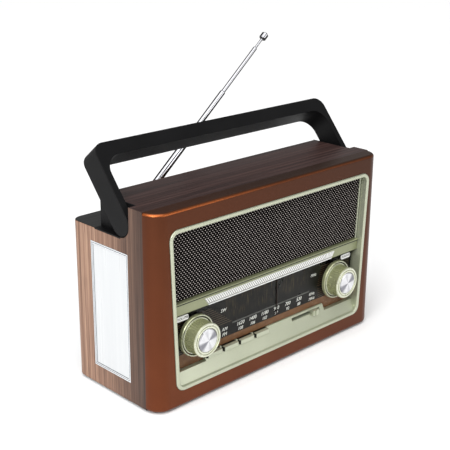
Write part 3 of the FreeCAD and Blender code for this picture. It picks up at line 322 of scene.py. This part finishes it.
def chrome():
    """Polished chrome, painted with a dark reflection where a round tube turns away from the eye."""
    s = Surface("antenna_chrome", rgb(150, 150, 154), 0.1, 1)
    marks = s.noise((300,) * 3, 3)
    weight = s.node("ShaderNodeLayerWeight")
    weight.inputs["Blend"].default_value = 0.5
    # Painted reflection: dark where the tube turns away from the eye.
    edge = s.span(weight.outputs["Facing"], 0, 1, 0.08, 0.34)
    bright = s.mix(s.span(marks, 0, 0.2), rgb(196, 196, 200), rgb(160, 160, 164))
    s.colour(s.mix(edge, bright, rgb(26, 26, 28)))
    s.rough(s.span(marks, 0.08, 0.16)).bump(marks, 0.000004, 0.3)
    return s.material


def grille_thread():
    """Satin thread, bright on the crests and in shade where it dips behind the upright threads."""
    s = Surface("grille_mesh", rgb(236, 214, 206), 0.45, 0.2, Specular_IOR_Level=0.3)
    low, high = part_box("speaker_grille")
    middle = (low.y + high.y) / 2
    depth = s.span(s.axis("Y"), 0, 1, middle - 0.36 * MM, middle - 0.2 * MM)
    fibre = s.noise((1500, 300, 300), 3)
    satin = s.mix(s.span(fibre, 0, 0.4), rgb(255, 246, 240), rgb(222, 202, 194))
    s.colour(s.mix(depth, satin, rgb(9, 6, 6)))
    s.rough(s.span(fibre, 0.4, 0.55)).bump(fibre, 0.00002, 0.4)
    return s.material


def dial_print():
    """Black lacquer with faint gold streaks that stand upright over its upper middle, painted there as a
    reflection.
    """
    s = Surface("dial_print", rgb(9, 8, 9), 0.3, Specular_IOR_Level=0.25)
    streak, patch = s.noise((1300, 1, 75), 2, 0.3), s.noise((50, 1, 70), 2)
    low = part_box("dial_plate")[0].z
    upper = s.span(s.axis("Z"), 0, 1, low + 24 * MM, low + 29 * MM)
    middle = s.span(s.math("ABSOLUTE", s.axis("X")), 1, 0, 42 * MM, 50 * MM)
    # Painted reflection: gold streaks over the upper middle.
    reflection_zone = s.math("MULTIPLY", s.math("MULTIPLY", upper, s.span(patch, 0, 1, 0.35, 0.65)), middle)
    reflection_streaks = s.math("MULTIPLY", s.span(streak, 0, 1, 0.52, 0.62), reflection_zone)
    s.colour(s.mix(reflection_streaks, rgb(10, 9, 10), rgb(74, 62, 38)))
    s.rough(s.span(patch, 0.26, 0.38)).bump(patch, 0.00001, 0.2)
    return s.material


def clear_window():
    """Clear acrylic: it lets the dial through, and mirrors only where it is seen at a shallow angle."""
    material = bpy.data.materials.new("clear_window")
    material.use_nodes = True
    tree = material.node_tree
    tree.nodes.clear()

    def node(kind, values=(), **settings):
        item = tree.nodes.new(kind)
        for name, value in settings.items():
            setattr(item, name, value)
        for socket, value in values:
            if isinstance(value, bpy.types.NodeSocket):
                tree.links.new(value, item.inputs[socket])
            else:
                item.inputs[socket].default_value = value
        return item.outputs

    facing = node("ShaderNodeLayerWeight", [("Blend", 0.5)])["Facing"]
    steep = node("ShaderNodeMath", [(0, facing), (1, 5)], operation="POWER")[0]
    share = node("ShaderNodeMath", [(0, steep), (1, 0.9), (2, -0.01)],
                 operation="MULTIPLY_ADD", use_clamp=True)[0]
    inside = node("ShaderNodeNewGeometry")["Backfacing"]
    outside = node("ShaderNodeMath", [(0, 1.0), (1, inside)], operation="SUBTRACT")[0]
    share = node("ShaderNodeMath", [(0, share), (1, outside)], operation="MULTIPLY")[0]
    place = node("ShaderNodeTexCoord")["Object"]
    waves = node("ShaderNodeTexNoise", [("Vector", place), ("Scale", 60)])["Fac"]
    normal = node("ShaderNodeBump", [("Height", waves), ("Distance", 0.00002), ("Strength", 0.3)])["Normal"]
    clear = node("ShaderNodeBsdfTransparent", [("Color", (0.96, 0.96, 0.95, 1))])[0]
    gloss = node("ShaderNodeBsdfGlossy", [("Roughness", 0.06), ("Normal", normal)])[0]
    mixed = node("ShaderNodeMixShader", [(0, share), (1, clear), (2, gloss)])[0]
    node("ShaderNodeOutputMaterial", [("Surface", mixed)])
    return material


def lamp_white():
    """Milky diffuser, lit from behind, with faint upright ripples."""
    s = Surface("lamp_diffuser", rgb(246, 248, 250), 0.3, Emission_Strength=0.03,
                Emission_Color=rgb(247, 250, 255), Coat_Weight=0.3, Coat_Roughness=0.1)
    ripple = s.noise((60, 260, 9), 2)
    s.colour(s.mix(s.span(ripple, 0, 0.6), rgb(203, 205, 206), rgb(194, 197, 199)))
    s.rough(s.span(ripple, 0.25, 0.4)).bump(ripple, 0.00008, 0.4)
    return s.material


def speckled(name, colour, second, roughness, frequency, depth=0.00005):
    """A mottled matt finish."""
    s = Surface(name, colour, roughness)
    spots = s.noise((frequency,) * 3, 3)
    s.colour(s.mix(s.span(spots, 0, 1), colour, second))
    s.rough(s.span(spots, roughness - 0.06, roughness + 0.06)).bump(spots, depth, 0.6)
    return s.material


def spun_metal(node):
    """Spun aluminium: fine rings round the cap's middle, and a painted highlight and shade as light and dark
    wedges that spread out from it.
    """
    s = Surface(node + "_metal", rgb(196, 196, 202), 0.3, 1, Anisotropic=0.9)
    low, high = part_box(node)
    middle = (low + high) / 2

    def vector(operation, first, second):
        item = s.node("ShaderNodeVectorMath", operation=operation)
        s.feed(item.inputs[0], first)
        item.inputs[1].default_value = second
        return item.outputs["Vector"]

    out = vector("SUBTRACT", s.place, middle)
    along = vector("CROSS_PRODUCT", out, (0, 1, 0))
    turned = s.node("ShaderNodeVectorTransform", vector_type="VECTOR", convert_from="OBJECT",
                    convert_to="WORLD")
    s.feed(turned.inputs[0], along)
    s.feed(s.shader.inputs["Tangent"], turned.outputs[0])
    length = s.node("ShaderNodeVectorMath", operation="LENGTH")
    s.feed(length.inputs[0], out)
    rings = s.node("ShaderNodeTexNoise", noise_dimensions="1D")
    s.feed(rings.inputs["W"], length.outputs["Value"])
    rings.inputs["Scale"].default_value = 5200
    rings.inputs["Detail"].default_value = 2
    marks = rings.outputs["Fac"]
    # Painted highlight and shade: light and dark wedges by angle round the middle.
    angle = s.math("ARCTAN2", s.axis("Z", out), s.axis("X", out))
    four, two = (s.math("SINE", s.math("MULTIPLY", angle, wedges)) for wedges in (4.0, 2.0))
    painted_wedges = s.math("ADD", four, two)
    tone = s.mix(s.span(painted_wedges, 0, 1, -0.2, 1.4), rgb(238, 238, 240), rgb(138, 138, 144))
    s.colour(s.mix(s.span(marks, 0, 0.35), tone, rgb(150, 150, 158)))
    s.rough(s.span(marks, 0.26, 0.36)).bump(marks, 0.00001, 0.4)
    return s.material


FINISHES = {
    "wood_film": wood_film(),
    "copper_paint": copper_paint(),
    "champagne_paint": metallic_paint("champagne_paint", CHAMPAGNE, CHAMPAGNE_DEEP, 0.55, 0.3),
    "knob_paint": knob_paint(),
    "grille_mesh": grille_thread(),
    "silver_trim": speckled("silver_trim", rgb(244, 244, 242), rgb(222, 222, 220), 0.3, 700, 0.00001),
    "dial_print": dial_print(),
    "clear_window": clear_window(),
    "pointer_red": moulded_plastic("pointer_red", rgb(30, 18, 15), 0.45),
    "black_plastic": moulded_plastic("black_plastic", rgb(9, 9, 10), 0.5, specular=0.14),
    "rubber": moulded_plastic("rubber", rgb(24, 24, 24), 0.75, 1500, 0.0001),
    "lamp_diffuser": lamp_white(),
    "lamp_clear": metal("lamp_clear", rgb(232, 235, 238), 0.12, (400, 400, 400)),
    "led": speckled("led", rgb(245, 220, 96), rgb(250, 232, 150), 0.3, 1800),
    "circuit_board": speckled("circuit_board", rgb(18, 78, 42), rgb(30, 104, 56), 0.35, 260),
    "steel": metal("steel", rgb(190, 190, 194), 0.28, (300, 3000, 300)),
    "ferrite": speckled("ferrite", rgb(52, 52, 55), rgb(74, 74, 78), 0.6, 1400),
    "coil_copper": metal("coil_copper", rgb(196, 112, 64), 0.3, (5200, 60, 60), 0.0001),
    "cone_paper": speckled("cone_paper", rgb(40, 39, 38), rgb(58, 56, 54), 0.85, 1700, 0.00015),
    "cell_wrap": speckled("cell_wrap", rgb(42, 62, 104), rgb(66, 92, 140), 0.3, 60),
    "antenna_chrome": chrome(),
}


def finish_node(name, material):
    data = NODES[name].data
    data.materials.clear()
    data.materials.append(material)


for part in frame["record"]["subparts"]:
    finish_node(part["node"], FINISHES[part["material_slot"]])
for name in ("volume_knob_cap", "tuning_knob_cap"):
    finish_node(name, spun_metal(name))
finish_node("mid_rail", metallic_paint("rail_paint", rgb(144, 148, 116), rgb(112, 116, 84), 0.5, 0.36))
BUTTON_PAINT_AND_SHADE = button_paint_and_shade()
for name in ("power_button", "mode_button", "previous_button", "next_button"):
    finish_node(name, BUTTON_PAINT_AND_SHADE)


# ---------------------------------------------------------------- mesh pieces


def new_piece(name, vertices, faces, body, slot, materials, smooth=False, face_materials=None):
    data = bpy.data.meshes.new(name)
    data.from_pydata(vertices, [], faces)
    for material in materials:
        data.materials.append(material)
    if face_materials:
        data.polygons.foreach_set("material_index", face_materials)
    data.polygons.foreach_set("use_smooth", [smooth] * len(data.polygons))
    data.update()
    item = bpy.data.objects.new(name, data)
    bpy.context.collection.objects.link(item)
    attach(item, body)
    return item


def loft(sections, vertices, faces):
    """Joins closed rings of equal length into one capped solid, added to vertices and faces."""
    start, count = len(vertices), len(sections[0])
    for ring in sections:
        vertices.extend(ring)
    for index in range(len(sections) - 1):
        low, high = start + index * count, start + (index + 1) * count
        for side in range(count):
            after = (side + 1) % count
            faces.append((low + side, low + after, high + after, high + side))
    faces.append(tuple(range(start + count - 1, start - 1, -1)))
    last = start + (len(sections) - 1) * count
    faces.append(tuple(range(last, last + count)))


def grille_outline():
    """The grille's box, and half of its width at its lower edge, which is shorter than the upper one."""
    low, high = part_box("speaker_grille")
    outline = [vertex.co for vertex in NODES["speaker_grille"].data.vertices]
    narrow = max(point.x for point in outline if point.z < low.z + 1 * MM)
    return low, high, narrow


WARP_PITCH, WEFT_PITCH, WEFT_INSET = 1.43 * MM, 1.62 * MM, 0.2 * MM
WARP_HALF, WEFT_HALF, THREAD_THICK, WAVE = 0.56 * MM, 0.3 * MM, 0.2 * MM, 0.26 * MM


def grille_weave():
    """Plain weave of bright cross threads over dark upright ones, as wide as the recess at each height."""
    low, high, narrow = grille_outline()
    middle = (low.y + high.y) / 2

    def half_width(z):
        return narrow + (high.x - narrow) * (z - low.z) / (high.z - low.z)

    columns = int(2 * high.x / WARP_PITCH) // 2
    rows = int((high.z - low.z) / WEFT_PITCH)
    first_row = low.z + ((high.z - low.z) - (rows - 1) * WEFT_PITCH) / 2
    vertices, faces, kinds = [], [], []
    for row in range(rows):
        z = first_row + row * WEFT_PITCH
        steps = int((half_width(z) - WEFT_INSET) / (WARP_PITCH / 2))
        rings = []
        for step in range(-steps, steps + 1):
            phase = math.pi * (step / 2 + row)
            y = middle - WAVE * math.cos(phase)
            x = step * WARP_PITCH / 2
            rings.append([(x, y - THREAD_THICK, z), (x, y, z - WEFT_HALF), (x, y + THREAD_THICK, z),
                          (x, y, z + WEFT_HALF)])
        before = len(faces)
        loft(rings, vertices, faces)
        kinds += [0] * (len(faces) - before)
    for column in range(-columns, columns + 1):
        x = column * WARP_PITCH
        rings = []
        for step in range(-1, 2 * rows):
            z = first_row + step * WEFT_PITCH / 2
            if abs(x) + WARP_HALF > half_width(z) or not low.z <= z <= high.z:
                continue
            y = middle + WAVE * math.cos(math.pi * (column + step / 2))
            rings.append([(x, y - THREAD_THICK, z), (x + WARP_HALF, y, z), (x, y + THREAD_THICK, z),
                          (x - WARP_HALF, y, z)])
        if len(rings) > 1:
            before = len(faces)
            loft(rings, vertices, faces)
            kinds += [1] * (len(faces) - before)
    dark = moulded_plastic("grille_warp", rgb(8, 4, 4), 0.85, 3000, specular=0.1)
    item = new_piece("grille_weave", vertices, faces, "case", "grille_mesh", [FINISHES["grille_mesh"], dark],
                     True, kinds)
    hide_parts("speaker_grille")


CLOTH_INSET, CLOTH_THICK = 0.1 * MM, 0.5 * MM


def grille_backing():
    """Dark cloth behind the weave."""
    low, high, narrow = grille_outline()
    bottom, top = low.z + CLOTH_INSET, high.z - CLOTH_INSET
    vertices, faces = [], []
    rings = [[(-narrow, y, bottom), (narrow, y, bottom), (high.x, y, top), (-high.x, y, top)]
             for y in (high.y, high.y + CLOTH_THICK)]
    loft(rings, vertices, faces)
    new_piece("grille_backing_cloth", vertices, faces, "case", "grille_mesh",
              [speckled("backing_cloth", rgb(9, 7, 7), rgb(18, 13, 12), 0.9, 2600)])


BEAD_WIDE, BEAD_GAP, BEAD_PROUD = 0.9 * MM, 0.7 * MM, 0.9 * MM
BEAD_SHOULDER, BEAD_SUNK = 0.3 * MM, 0.2 * MM


def grille_edge_bead():
    """Thin bead round the grille's top and its two slanting ends."""
    low, high, narrow = grille_outline()
    front, back = low.y - BEAD_PROUD, low.y + BEAD_SUNK
    shoulder = front + BEAD_SHOULDER
    rings = []
    for x, z, at_top in ((-narrow, low.z, 0), (-high.x, high.z, 1), (high.x, high.z, 1), (narrow, low.z, 0)):
        side = -1 if x < 0 else 1
        outer_x, outer_z = x - side * BEAD_GAP, z - at_top * BEAD_GAP
        inner_x, inner_z = outer_x - side * BEAD_WIDE, outer_z - at_top * BEAD_WIDE
        rings.append([(outer_x, back, outer_z), (outer_x, shoulder, outer_z),
                      ((outer_x + inner_x) / 2, front, (outer_z + inner_z) / 2),
                      (inner_x, shoulder, inner_z), (inner_x, back, inner_z)])
    vertices, faces = [], []
    loft(rings, vertices, faces)
    new_piece("grille_edge_bead", vertices, faces, "case", "champagne_paint", [FINISHES["champagne_paint"]])


RIB_PITCH, RIB_DEPTH, RIB_LEAN, LEAN_TURN = 2 * MM, 0.4 * MM, 4 * MM, 16 * MM
BEAD_TOP, RIBS_LOW, STRIP_CHAMFER = 0.8 * MM, 1.7 * MM, 0.1 * MM
STEPS_PER_RIB = 4


def ribbed_strip():
    """Bright strip with slanting ribs over a thin bead; its two ends slant inwards going down."""
    low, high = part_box("ribbed_strip")
    tall, groove = high.z - low.z, low.y + RIB_DEPTH
    section = [(high.y, 0), (low.y, STRIP_CHAMFER), (low.y, BEAD_TOP), (groove, BEAD_TOP), (groove, RIBS_LOW),
               (low.y, RIBS_LOW), (low.y, tall - STRIP_CHAMFER), (high.y, tall)]
    rib_face, groove_sides, dented_points = 5, (2, 3, 4), (5, 6)
    rings, steps = [], STEPS_PER_RIB * int((high.x - low.x) / RIB_PITCH)
    for step in range(steps + 1):
        top = low.x + (high.x - low.x) * step / steps
        lean = RIB_LEAN * (1 - 2 * max(0, (top - high.x + LEAN_TURN) / LEAN_TURN))
        dent = RIB_DEPTH if step % STEPS_PER_RIB == 0 else 0
        rings.append([(top + lean * (1 - rise / tall), y + (dent if index in dented_points else 0),
                       low.z + rise) for index, (y, rise) in enumerate(section)])
    vertices, faces = [], []
    loft(rings, vertices, faces)
    kinds = []
    for step in range(steps):
        beside_dent = step % STEPS_PER_RIB in (0, STEPS_PER_RIB - 1)
        kinds += [1 if side in groove_sides or (side == rib_face and beside_dent) else 0
                  for side in range(len(section))]
    end_caps = [0, 0]
    # Painted shade: the groove sides and the faces beside each dent get a darker grey.
    shade = metal("trim_groove_shade", rgb(178, 178, 174), 0.5, (300, 300, 4000))
    item = new_piece("ribbed_trim", vertices, faces, "case", "silver_trim", [FINISHES["silver_trim"], shade],
                     False, kinds + end_caps)
    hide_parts("ribbed_strip")


GROOVE_MIDDLE, GROOVE_HALF, GROOVE_TAPER = 78.1 * MM, 0.42 * MM, 0.9
GROOVE_FRONT, GROOVE_BACK, GROOVE_END = 0.25 * MM, 1.65 * MM, 0.3 * MM


def rail_groove():
    """Painted shadow: a dark strip laid in the groove along the rail."""
    low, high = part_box("mid_rail")
    wide, front, back = high.x - GROOVE_END, low.y + GROOVE_FRONT, low.y + GROOVE_BACK
    section = [(front, -GROOVE_HALF), (front, GROOVE_HALF),
               (back, GROOVE_HALF * GROOVE_TAPER), (back, -GROOVE_HALF * GROOVE_TAPER)]
    vertices, faces = [], []
    loft([[(x, y, GROOVE_MIDDLE + z) for y, z in section] for x in (-wide, wide)], vertices, faces)
    new_piece("rail_groove_shadow", vertices, faces, "case", "champagne_paint",
              [speckled("groove_shadow", rgb(26, 28, 18), rgb(36, 38, 26), 0.8, 900)])


# ---------------------------------------------------------------- printing on the dial

PRINT_LIFT, BAND_LIFT = 0.08 * MM, 0.04 * MM
PLATE_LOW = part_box("dial_plate")[0]
DATUM_Z = 1.5 * MM
LETTER_SLANT, CAPITAL_SHARE = 0.25, 0.7
WHITE_INK = speckled("white_ink", rgb(246, 247, 244), rgb(228, 230, 226), 0.5, 900, 0.00001)
GOLD_INK = speckled("gold_ink", rgb(90, 72, 50), rgb(70, 54, 38), 0.5, 500, 0.00001)
BROWN_INK = speckled("brown_ink", rgb(116, 76, 40), rgb(98, 62, 32), 0.45, 240, 0.00001)
GREY_INK = speckled("grey_ink", rgb(84, 84, 82), rgb(70, 70, 70), 0.5, 240, 0.00001)


def text_mesh(words, x, z, height, y=PLATE_LOW.y):
    """Slanted lettering that faces forward from depth y, centred on a point, as vertices and faces."""
    curve = bpy.data.curves.new("lettering", "FONT")
    curve.body = words
    curve.size = height / CAPITAL_SHARE
    curve.align_x = "CENTER"
    curve.align_y = "CENTER"
    curve.shear = LETTER_SLANT
    curve.extrude = PRINT_LIFT / 2
    curve.resolution_u = 2
    item = bpy.data.objects.new("lettering", curve)
    bpy.context.collection.objects.link(item)
    bpy.context.view_layer.update()
    data = bpy.data.meshes.new_from_object(item)
    turn = Matrix.Translation((x, y - PRINT_LIFT / 2, z)) @ Matrix.Rotation(math.pi / 2, 4, "X")
    vertices = [tuple(turn @ vertex.co) for vertex in data.vertices]
    faces = [tuple(polygon.vertices) for polygon in data.polygons]
    bpy.data.objects.remove(item)
    bpy.data.curves.remove(curve)
    bpy.data.meshes.remove(data)
    return vertices, faces


def join(parts):
    vertices, faces = [], []
    for part_vertices, part_faces in parts:
        shift = len(vertices)
        vertices += part_vertices
        faces += [tuple(index + shift for index in face) for face in part_faces]
    return vertices, faces


def bar(x0, x1, z0, z1, lift=PRINT_LIFT):
    """A thin bar of ink on the dial plate, as vertices and faces."""
    outline = [(x0, z0), (x1, z0), (x1, z1), (x0, z1)]
    vertices, faces = [], []
    loft([[(x, y, z) for x, z in outline] for y in (PLATE_LOW.y - lift, PLATE_LOW.y)], vertices, faces)
    return vertices, faces


def at(x, z):
    """A point on the dial in millimetres from the middle of the case and its underside."""
    return x * MM, z * MM + DATUM_Z


AM_ROW = ("1620", "1400", "1180", "900", "700", "530")
FM_ROW = ("108", "106", "102", "97", "92", "88")
FIRST_MARK, MARK_PITCH = -29.5, 13.2


def dial_numbers():
    """The names of the bands, and the two rows of numbers, each with its place and height in millimetres."""
    words = [("SW", -47.5, 56.4, 2.6), ("MHz", 53.3, 56.5, 2.4), ("AM", -46.2, 40.7, 2.7),
             ("FM", -46.2, 36.6, 2.7), ("KHz", 52, 40.6, 2.5), ("MHz", 52, 36.5, 2.5)]
    for index, (upper, lower) in enumerate(zip(AM_ROW, FM_ROW)):
        x = FIRST_MARK + index * MARK_PITCH
        words += [(upper, x, 40.7, 2.9), (lower, x, 36.5, 2.5)]
    vertices, faces = join([text_mesh(text, *at(x, z), size * MM) for text, x, z, size in words])
    new_piece("dial_numbers", vertices, faces, "case", "dial_print", [WHITE_INK])


# In millimetres. Each block of bars has its lowest and highest z, and how far from the middle of the case
# the bars' inner ends are at each.
DIAL_END, BAR_PITCH, BAR_THICK = 98, 1.75, 0.36
SCALE_LINE = (-38, 49, 43.2, 44.3)
LEFT_BARS = ((45.6, 61.5, 39, 60), (35.6, 43.5, 53, 53))
RIGHT_BARS = ((45.6, 61.5, 58, 63), (35.6, 43.5, 60, 59))


def dial_lines():
    """Scale line over the numbers, and bars that run behind the knobs and end on a slant."""
    left, right, bottom, top = (value * MM for value in SCALE_LINE)
    scale = bar(left, right, bottom + DATUM_Z, top + DATUM_Z)
    new_piece("dial_scale_line", *scale, "case", "dial_print", [GREY_INK])
    bars = []
    for side, rows in ((-1, LEFT_BARS), (1, RIGHT_BARS)):
        for low, high, near_low, near_high in rows:
            count = int((high - low) / BAR_PITCH)
            for index in range(count + 1):
                z = low + index * BAR_PITCH
                inner = near_low + (near_high - near_low) * (z - low) / (high - low)
                ends = sorted((side * inner * MM, side * DIAL_END * MM))
                bars.append(bar(*ends, z * MM + DATUM_Z, (z + BAR_THICK) * MM + DATUM_Z))
    new_piece("dial_bars", *join(bars), "case", "dial_print", [GOLD_INK])


# In millimetres. The plate's lower edge steps up between the two ends, to clear the apron.
BAND_TOP, STEP_HALF, STEP_HEIGHT, BAND_GAP = 34.4, 64.3, 29.1, 0.1


def dial_band():
    """Brown ground along the dial's lower edge and at its two lower ends."""
    end, step_end = DIAL_END * MM, (STEP_HALF + BAND_GAP) * MM
    low, step = PLATE_LOW.z + BAND_GAP * MM, (STEP_HEIGHT + BAND_GAP) * MM + DATUM_Z
    high = BAND_TOP * MM + DATUM_Z
    parts = [bar(-end, -step_end, low, high, BAND_LIFT), bar(-step_end, step_end, step, high, BAND_LIFT),
             bar(step_end, end, low, high, BAND_LIFT)]
    new_piece("dial_brown_band", *join(parts), "case", "dial_print", [BROWN_INK])


LABEL_LETTERS = 1.9 * MM


def label_words():
    """The names of the two knobs on their tablets."""
    ink = speckled("label_ink", rgb(52, 52, 50), rgb(70, 70, 68), 0.5, 900, 0.00001)
    for words, node in (("VOLUME", "volume_label_plate"), ("TUNING", "tuning_label_plate")):
        low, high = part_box(node)
        x, z = (low.x + high.x) / 2, (low.z + high.z) / 2
        vertices, faces = text_mesh(words, x, z, LABEL_LETTERS, low.y)
        new_piece(node.replace("_plate", "_words"), vertices, faces, "case", "silver_trim", [ink])


SEAM_THICK, SEAM_OFFSET = 0.1 * MM, 0.04 * MM


def lamp_seams():
    """Fine dark seams: one round the lamp's diffuser, and one in the groove of its frame."""
    low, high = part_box("lamp_diffuser")
    round_diffuser = (0, 0.3 * MM, low.x - SEAM_OFFSET)
    in_frame = (1.2 * MM, 0.5 * MM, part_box("lamp_frame")[0].x + SEAM_OFFSET)
    vertices, faces = [], []
    for grow, wide, face in (round_diffuser, in_frame):
        y0, z0, y1, z1 = low.y - grow, low.z - grow, high.y + grow, high.z + grow
        for left, bottom, right, top in ((y0, z0, y1, z0 + wide), (y0, z1 - wide, y1, z1),
                                         (y0, z0 + wide, y0 + wide, z1 - wide),
                                         (y1 - wide, z0 + wide, y1, z1 - wide)):
            loft([[(x, left, bottom), (x, right, bottom), (x, right, top), (x, left, top)]
                  for x in (face, face + SEAM_THICK)], vertices, faces)
    new_piece("lamp_seams", vertices, faces, "case", "lamp_clear",
              [speckled("seam_shade", rgb(92, 96, 100), rgb(112, 116, 120), 0.6, 900)])


grille_weave()
grille_backing()
grille_edge_bead()
ribbed_strip()
rail_groove()
dial_numbers()
dial_lines()
dial_band()
label_words()
lamp_seams()


# ---------------------------------------------------------------- floor, lights and world

FLOOR_HALF, WORLD_LIGHT = 12, 0.3


def make_floor():
    data = bpy.data.meshes.new("floor")
    corners = [(x * FLOOR_HALF, y * FLOOR_HALF, 0) for x, y in ((-1, -1), (1, -1), (1, 1), (-1, 1))]
    data.from_pydata(corners, [], [(0, 1, 2, 3)])
    s = Surface("floor", rgb(246, 246, 246), 0.7)
    s.rough(s.span(s.noise((40, 40, 40), 2), 0.65, 0.75))
    data.materials.append(s.material)
    item = bpy.data.objects.new("floor", data)
    bpy.context.collection.objects.link(item)


def area_light(name, place, target, size, power):
    data = bpy.data.lights.new(name, "AREA")
    data.shape = "RECTANGLE"
    data.size, data.size_y = size
    data.energy = power
    item = bpy.data.objects.new(name, data)
    item.location = place
    item.rotation_mode = "QUATERNION"
    item.rotation_quaternion = (Vector(target) - Vector(place)).to_track_quat("-Z", "Y")
    bpy.context.collection.objects.link(item)


def soft_sun(name, towards, strength, spread):
    """A far light whose rays come from a direction, spread over an angle in degrees."""
    data = bpy.data.lights.new(name, "SUN")
    data.energy = strength
    data.angle = math.radians(spread)
    item = bpy.data.objects.new(name, data)
    item.rotation_mode = "QUATERNION"
    item.rotation_quaternion = Vector(towards).to_track_quat("Z", "Y")
    bpy.context.collection.objects.link(item)


def make_world():
    world = bpy.data.worlds.new("studio")
    world.use_nodes = True
    back = world.node_tree.nodes["Background"]
    back.inputs["Color"].default_value = (1, 1, 1, 1)
    back.inputs["Strength"].default_value = WORLD_LIGHT
    bpy.context.scene.world = world


make_floor()
make_world()
soft_sun("overhead_sun", (-0.35, -0.2, 0.9), 2.9, 75)
area_light("key", (-1.1, -0.5, 0.75), (0, 0, 0.08), (0.5, 0.7), 8)
area_light("front_fill", (0.5, -1.3, 0.55), (0, 0, 0.08), (0.9, 0.5), 4)
bpy.context.scene.view_settings.view_transform = "Standard"
